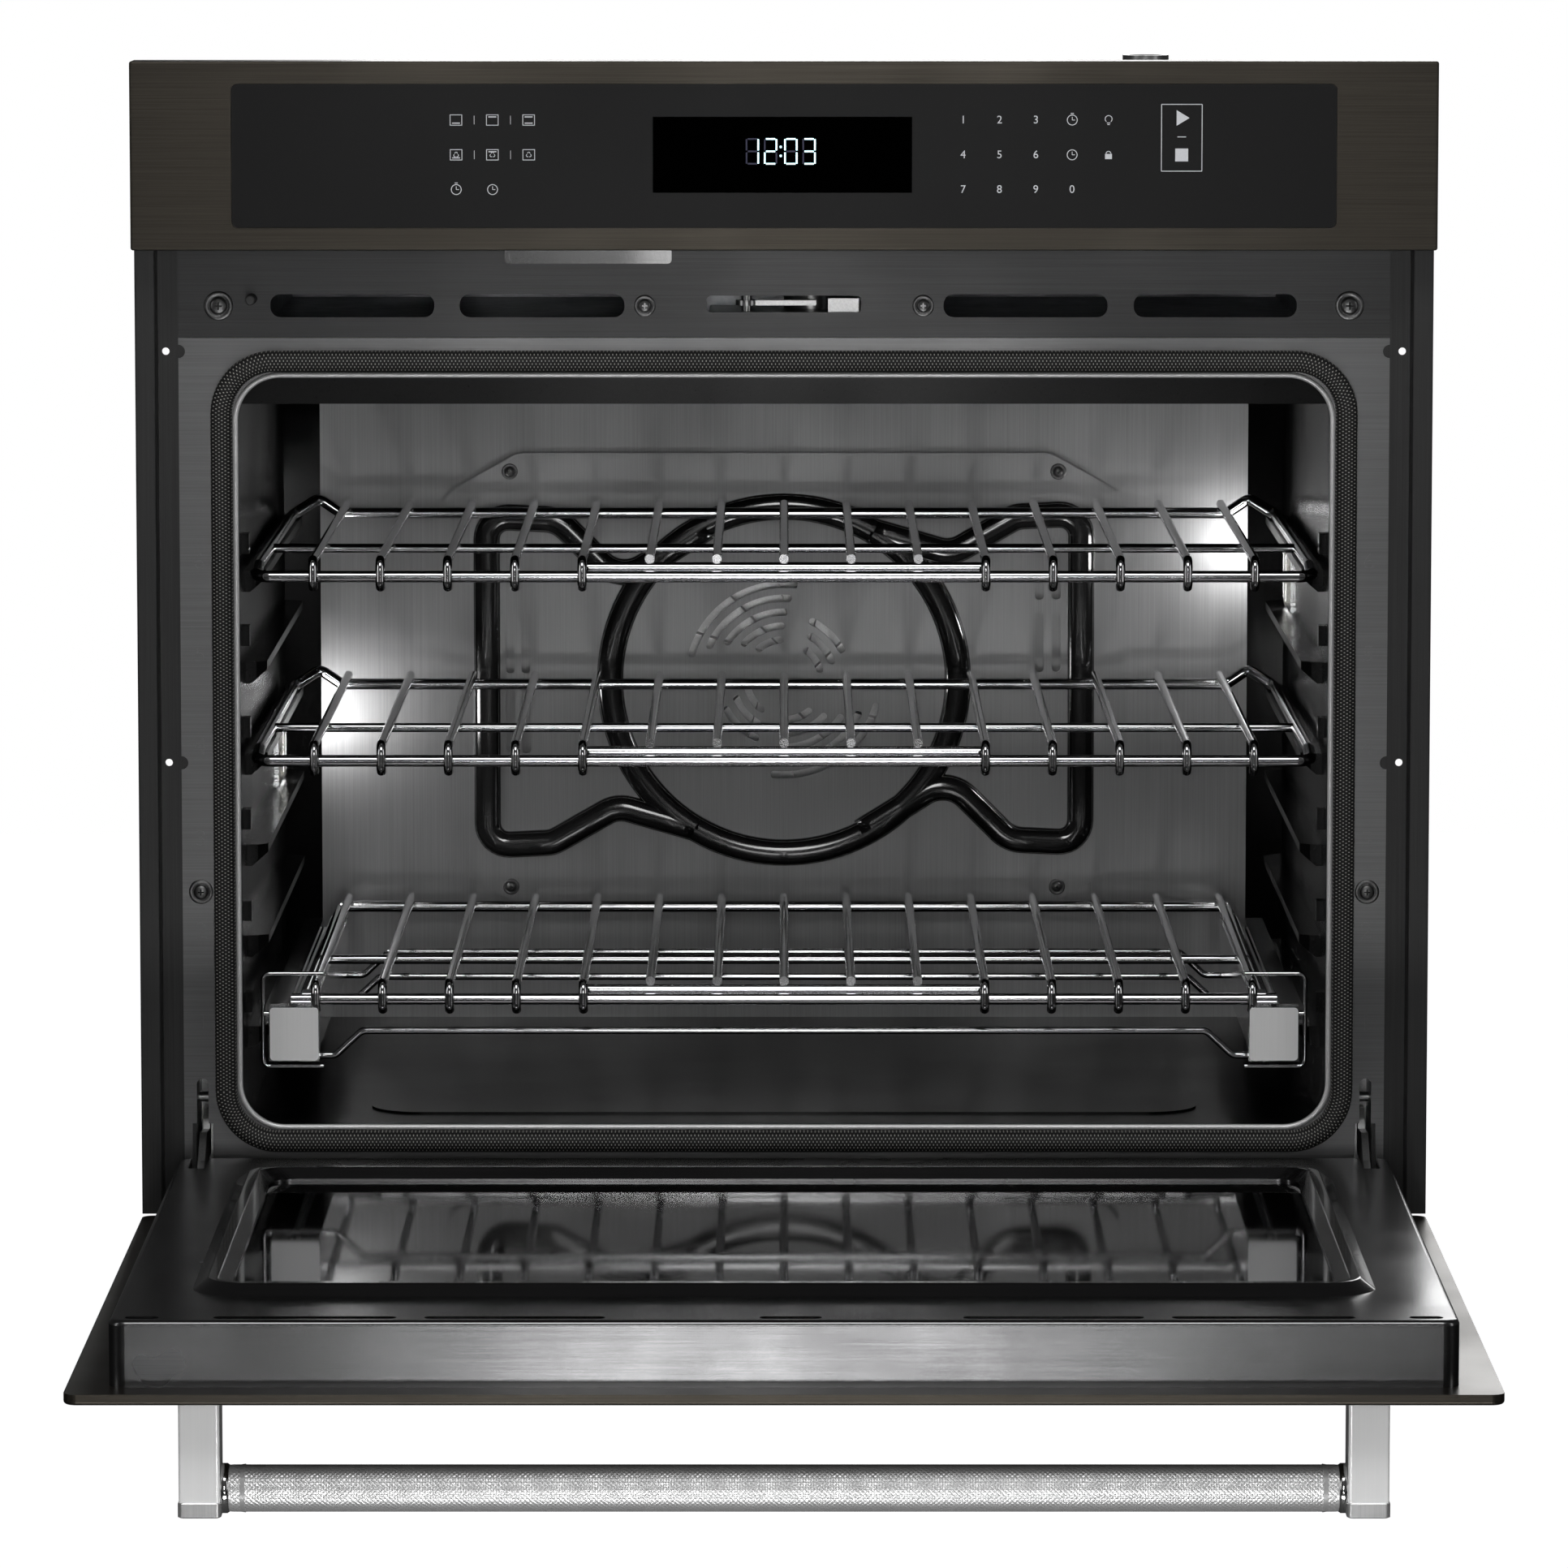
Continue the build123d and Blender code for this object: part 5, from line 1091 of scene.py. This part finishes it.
@dataclass
class ScrewHeads:
    """Pan-head screws of the frame, the vent panel and the baffle, each on a washer flange.

    Places and radii are in millimetres. The outline and the recess's painted shade are shares of a head's
    radius.
    """

    shop: Workshop
    vent_row: float = 577.0
    vent_spots: tuple[Spot, ...] = ((333.0, 8.6), (82.0, 6.4))
    side_spot: Point = (346.0, 229.0, 7.2)
    baffle_x: float = 177.0
    baffle_rows: Spot = (442.0, 172.0)
    baffle_radius: float = 5.2
    profile: tuple[Spot, ...] = (
        (1.0, 0.0), (1.0, 0.10), (0.94, 0.16), (0.70, 0.16), (0.66, 0.11), (0.62, 0.11), (0.60, 0.26),
        (0.54, 0.36), (0.42, 0.42), (0.02, 0.44))
    # The recess is a thin raised cross in gloss black on the head: painted shade, not a hollow.
    slot: Spot = (0.52, 0.12)
    recess_shade_rise: float = 0.05 * MM
    sides: int = 32

    def spots(self) -> list[tuple[float, float, float, float]]:
        """List the face, the place and the radius of every screw."""
        frame_face, baffle_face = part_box("front_frame")[0].y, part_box("fan_baffle")[0].y + BEAD_RISE
        found = [(frame_face, x, self.vent_row, radius) for x, radius in self.vent_spots]
        found.append((frame_face, *self.side_spot))
        found += [(baffle_face, self.baffle_x, z, self.baffle_radius) for z in self.baffle_rows]
        return [(face, side * x, z, radius) for face, x, z, radius in found for side in (1, -1)]

    def head(self, heads: bmesh.types.BMesh, face: float, x: float, z: float, radius: float) -> None:
        """Turn one head.

        Args:
            heads: The mesh that it joins.
            face: Y of the surface that it sits on.
            x: Its centre, in millimetres.
            z: Its centre, in millimetres.
            radius: Its washer's radius, in millimetres.
        """
        angles = [TURN * k / self.sides for k in range(self.sides)]
        rings = []
        for reach, rise in self.profile:
            out, y = radius * reach, face - radius * rise * MM
            rings.append([heads.verts.new(((x + out * cos(angle)) * MM, y, (z + out * sin(angle)) * MM))
                          for angle in angles])
        for a, b in zip(rings, rings[1:]):
            for k in range(self.sides):
                after = (k + 1) % self.sides
                heads.faces.new((a[k], a[after], b[after], b[k])).smooth = True
        heads.faces.new(rings[-1])

    def recess_shade(self, marks: Glyph, x: float, z: float, radius: float) -> None:
        """Lay one head's crossed recess as a thin black mark on the head: painted shade, not a hollow.

        Args:
            marks: The set of marks that it joins.
            x: Its centre, in millimetres.
            z: Its centre, in millimetres.
            radius: The head's radius, in millimetres.
        """
        length, width = (radius * share for share in self.slot)
        arm = (length - width) / 2
        marks.bar(x, z, length, width)
        for side in (1, -1):
            marks.bar(x, z + side * (width + arm) / 2, width, arm)

    def build(self) -> None:
        """Make every head and the painted shade of its recess."""
        heads = bmesh.new()
        recess_shades: dict[float, Glyph] = {}
        for face, x, z, radius in self.spots():
            self.head(heads, face, x, z, radius)
            top = face - radius * self.profile[-1][1] * MM
            self.recess_shade(recess_shades.setdefault(top, Glyph(top, self.recess_shade_rise)), x, z, radius)
        bmesh.ops.recalc_face_normals(heads, faces=heads.faces)
        mesh = bpy.data.meshes.new("screw_heads")
        heads.to_mesh(mesh)
        heads.free()
        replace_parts(self.shop.piece("screw_heads", mesh, "screw", "chassis", "steel"), "body_screws")
        # Each recess mark takes the gloss black of the data tab as painted shade.
        for number, marks in enumerate(recess_shades.values()):
            name = f"screw_recess_shades_{number}"
            self.shop.piece(name, marks.finish(name), "tab", "chassis", "steel")


# ---- studio -------------------------------------------------------------------------------


@dataclass(frozen=True)
class Softbox:
    """One area light of the studio."""

    name: str
    place: Point
    aim: Point
    size: tuple[float, float]
    power: float

    def build(self) -> None:
        """Hang the light and turn it to its aim."""
        data = bpy.data.lights.new(self.name, "AREA")
        data.shape = "RECTANGLE"
        data.size, data.size_y = self.size
        data.energy = self.power
        light = bpy.data.objects.new(self.name, data)
        light.location = self.place
        light.rotation_euler = (Vector(self.aim) - Vector(self.place)).to_track_quat("-Z", "Y").to_euler()
        light.visible_camera = False
        bpy.context.scene.collection.objects.link(light)


@dataclass
class Studio:
    """Camera, floor, surroundings and lights."""

    distance: float = 4.9852
    height: float = 0.8768
    tilt: float = 6.6113
    lens: float = 196.26
    floor_drop: float = 1.20
    sensor: float = 36.0
    floor_reach: float = 12.0
    room_tone: float = 0.10
    lamp_power: float = 0.20
    lamp_inset: float = 0.014
    lamp_rise: float = 0.019
    lamp_throw: Point = (0.114, 0.11, 0.01)
    lamp_size: Spot = (0.07, 0.03)
    boxes: tuple[Softbox, ...] = (
        Softbox("key", (0.0, -2.9, 3.1), (0.0, -0.3, 0.35), (1.8, 1.2), 42.0),
        Softbox("left_strip", (-2.6, -1.9, 1.0), (0.0, -0.3, 0.35), (0.5, 2.0), 7.0),
        Softbox("right_strip", (2.6, -1.9, 1.0), (0.0, -0.3, 0.35), (0.5, 2.0), 7.0),
        Softbox("low_front", (0.0, -3.6, -0.52), (0.0, -0.9, 0.04), (0.35, 0.2), 5.0),
        Softbox("front_strip", (0.0, -4.2, 0.68), (0.0, -0.3, 0.56), (0.30, 0.9), 9.5),
        Softbox("under_handle", (0.0, -2.2, -0.95), (0.0, -0.88, -0.03), (1.3, 0.3), 12.0),
        Softbox("rear_fill", (0.6, 3.4, 1.5), (0.0, 0.2, 0.35), (2.2, 1.6), 40.0),
    )

    def camera(self) -> None:
        """Place the camera square to the oven, looking slightly down."""
        data = bpy.data.cameras.new("camera")
        data.lens = self.lens
        data.sensor_width = self.sensor
        data.clip_end = 60.0
        camera = bpy.data.objects.new("camera", data)
        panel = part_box("control_bezel")[0].y
        camera.location = (0.0, panel - self.distance, self.height)
        camera.rotation_euler = Euler((radians(90 - self.tilt), 0, 0))
        bpy.context.scene.collection.objects.link(camera)
        bpy.context.scene.camera = camera

    def floor(self) -> None:
        """Lay the pale floor."""
        mesh = bpy.data.meshes.new("floor")
        reach, height = self.floor_reach, CAD_BOX[0][2] - self.floor_drop
        corners = ((-1, -1), (1, -1), (1, 1), (-1, 1))
        mesh.from_pydata([(x * reach, y * reach, height) for x, y in corners], [], [(0, 1, 2, 3)])
        material = bpy.data.materials.new("pale_floor")
        material.use_nodes = True
        nodes, links = material.node_tree.nodes, material.node_tree.links
        seen, room = nodes["Principled BSDF"], nodes.new("ShaderNodeBsdfPrincipled")
        seen.inputs["Base Color"].default_value = (0.9, 0.9, 0.9, 1)
        seen.inputs["Emission Color"].default_value = (1, 1, 1, 1)
        seen.inputs["Emission Strength"].default_value = 0.97
        room.inputs["Base Color"].default_value = (*grey(self.room_tone), 1)
        for shader in (seen, room):
            shader.inputs["Roughness"].default_value = 0.8
        ray, mix = nodes.new("ShaderNodeLightPath"), nodes.new("ShaderNodeMixShader")
        links.new(ray.outputs["Is Camera Ray"], mix.inputs["Fac"])
        links.new(room.outputs[0], mix.inputs[1])
        links.new(seen.outputs[0], mix.inputs[2])
        links.new(mix.outputs[0], nodes["Material Output"].inputs["Surface"])
        mesh.materials.append(material)
        floor = bpy.data.objects.new("floor", mesh)
        bpy.context.scene.collection.objects.link(floor)

    def world(self) -> None:
        """White surroundings for the eye and a dimmer grey room for reflections."""
        world = bpy.data.worlds.new("studio")
        bpy.context.scene.world = world
        world.use_nodes = True
        nodes, links = world.node_tree.nodes, world.node_tree.links
        room = nodes["Background"]
        room.inputs["Color"].default_value = (0.5, 0.5, 0.5, 1)
        room.inputs["Strength"].default_value = 0.09
        sky = nodes.new("ShaderNodeBackground")
        sky.inputs["Color"].default_value = (1, 1, 1, 1)
        ray = nodes.new("ShaderNodeLightPath")
        mix = nodes.new("ShaderNodeMixShader")
        links.new(ray.outputs["Is Camera Ray"], mix.inputs["Fac"])
        links.new(room.outputs[0], mix.inputs[1])
        links.new(sky.outputs[0], mix.inputs[2])
        links.new(mix.outputs[0], nodes["World Output"].inputs["Surface"])

    def lamps(self) -> None:
        """Light the cavity from just in front of both lamp lenses."""
        low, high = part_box("lamp_lenses")
        y = (low.y + high.y) / 2
        across, back, up = self.lamp_throw
        left = ("left_lamp", low.x + self.lamp_inset, low.z + self.lamp_rise, 1)
        right = ("right_lamp", high.x - self.lamp_inset, high.z - self.lamp_rise, -1)
        for name, x, z, side in (left, right):
            aim = (x + side * across, y + back, z + up)
            Softbox(name, (x, y, z), aim, self.lamp_size, self.lamp_power).build()

    def build(self) -> None:
        """Set up everything round the object."""
        self.camera()
        self.floor()
        self.world()
        for box in self.boxes:
            box.build()
        self.lamps()
        bpy.context.scene.view_settings.view_transform = "Standard"


def main() -> None:
    """Build the studio and every piece."""
    logging.basicConfig(level=logging.INFO, format="%(name)s: %(message)s")
    Studio().build()
    shop = Workshop()
    shop.dress_frame()
    ControlPanel(shop).build()
    FrameNumbers(shop).build()
    CavityRim(shop).build()
    DoorGasket(shop).build()
    BaffleBead(shop).build()
    HandleGrip(shop).build()
    PostBands(shop).build()
    GlideCaps(shop).build()
    ScrewHeads(shop).build()
    bpy.context.view_layer.update()


if __name__ == "__main__":
    main()
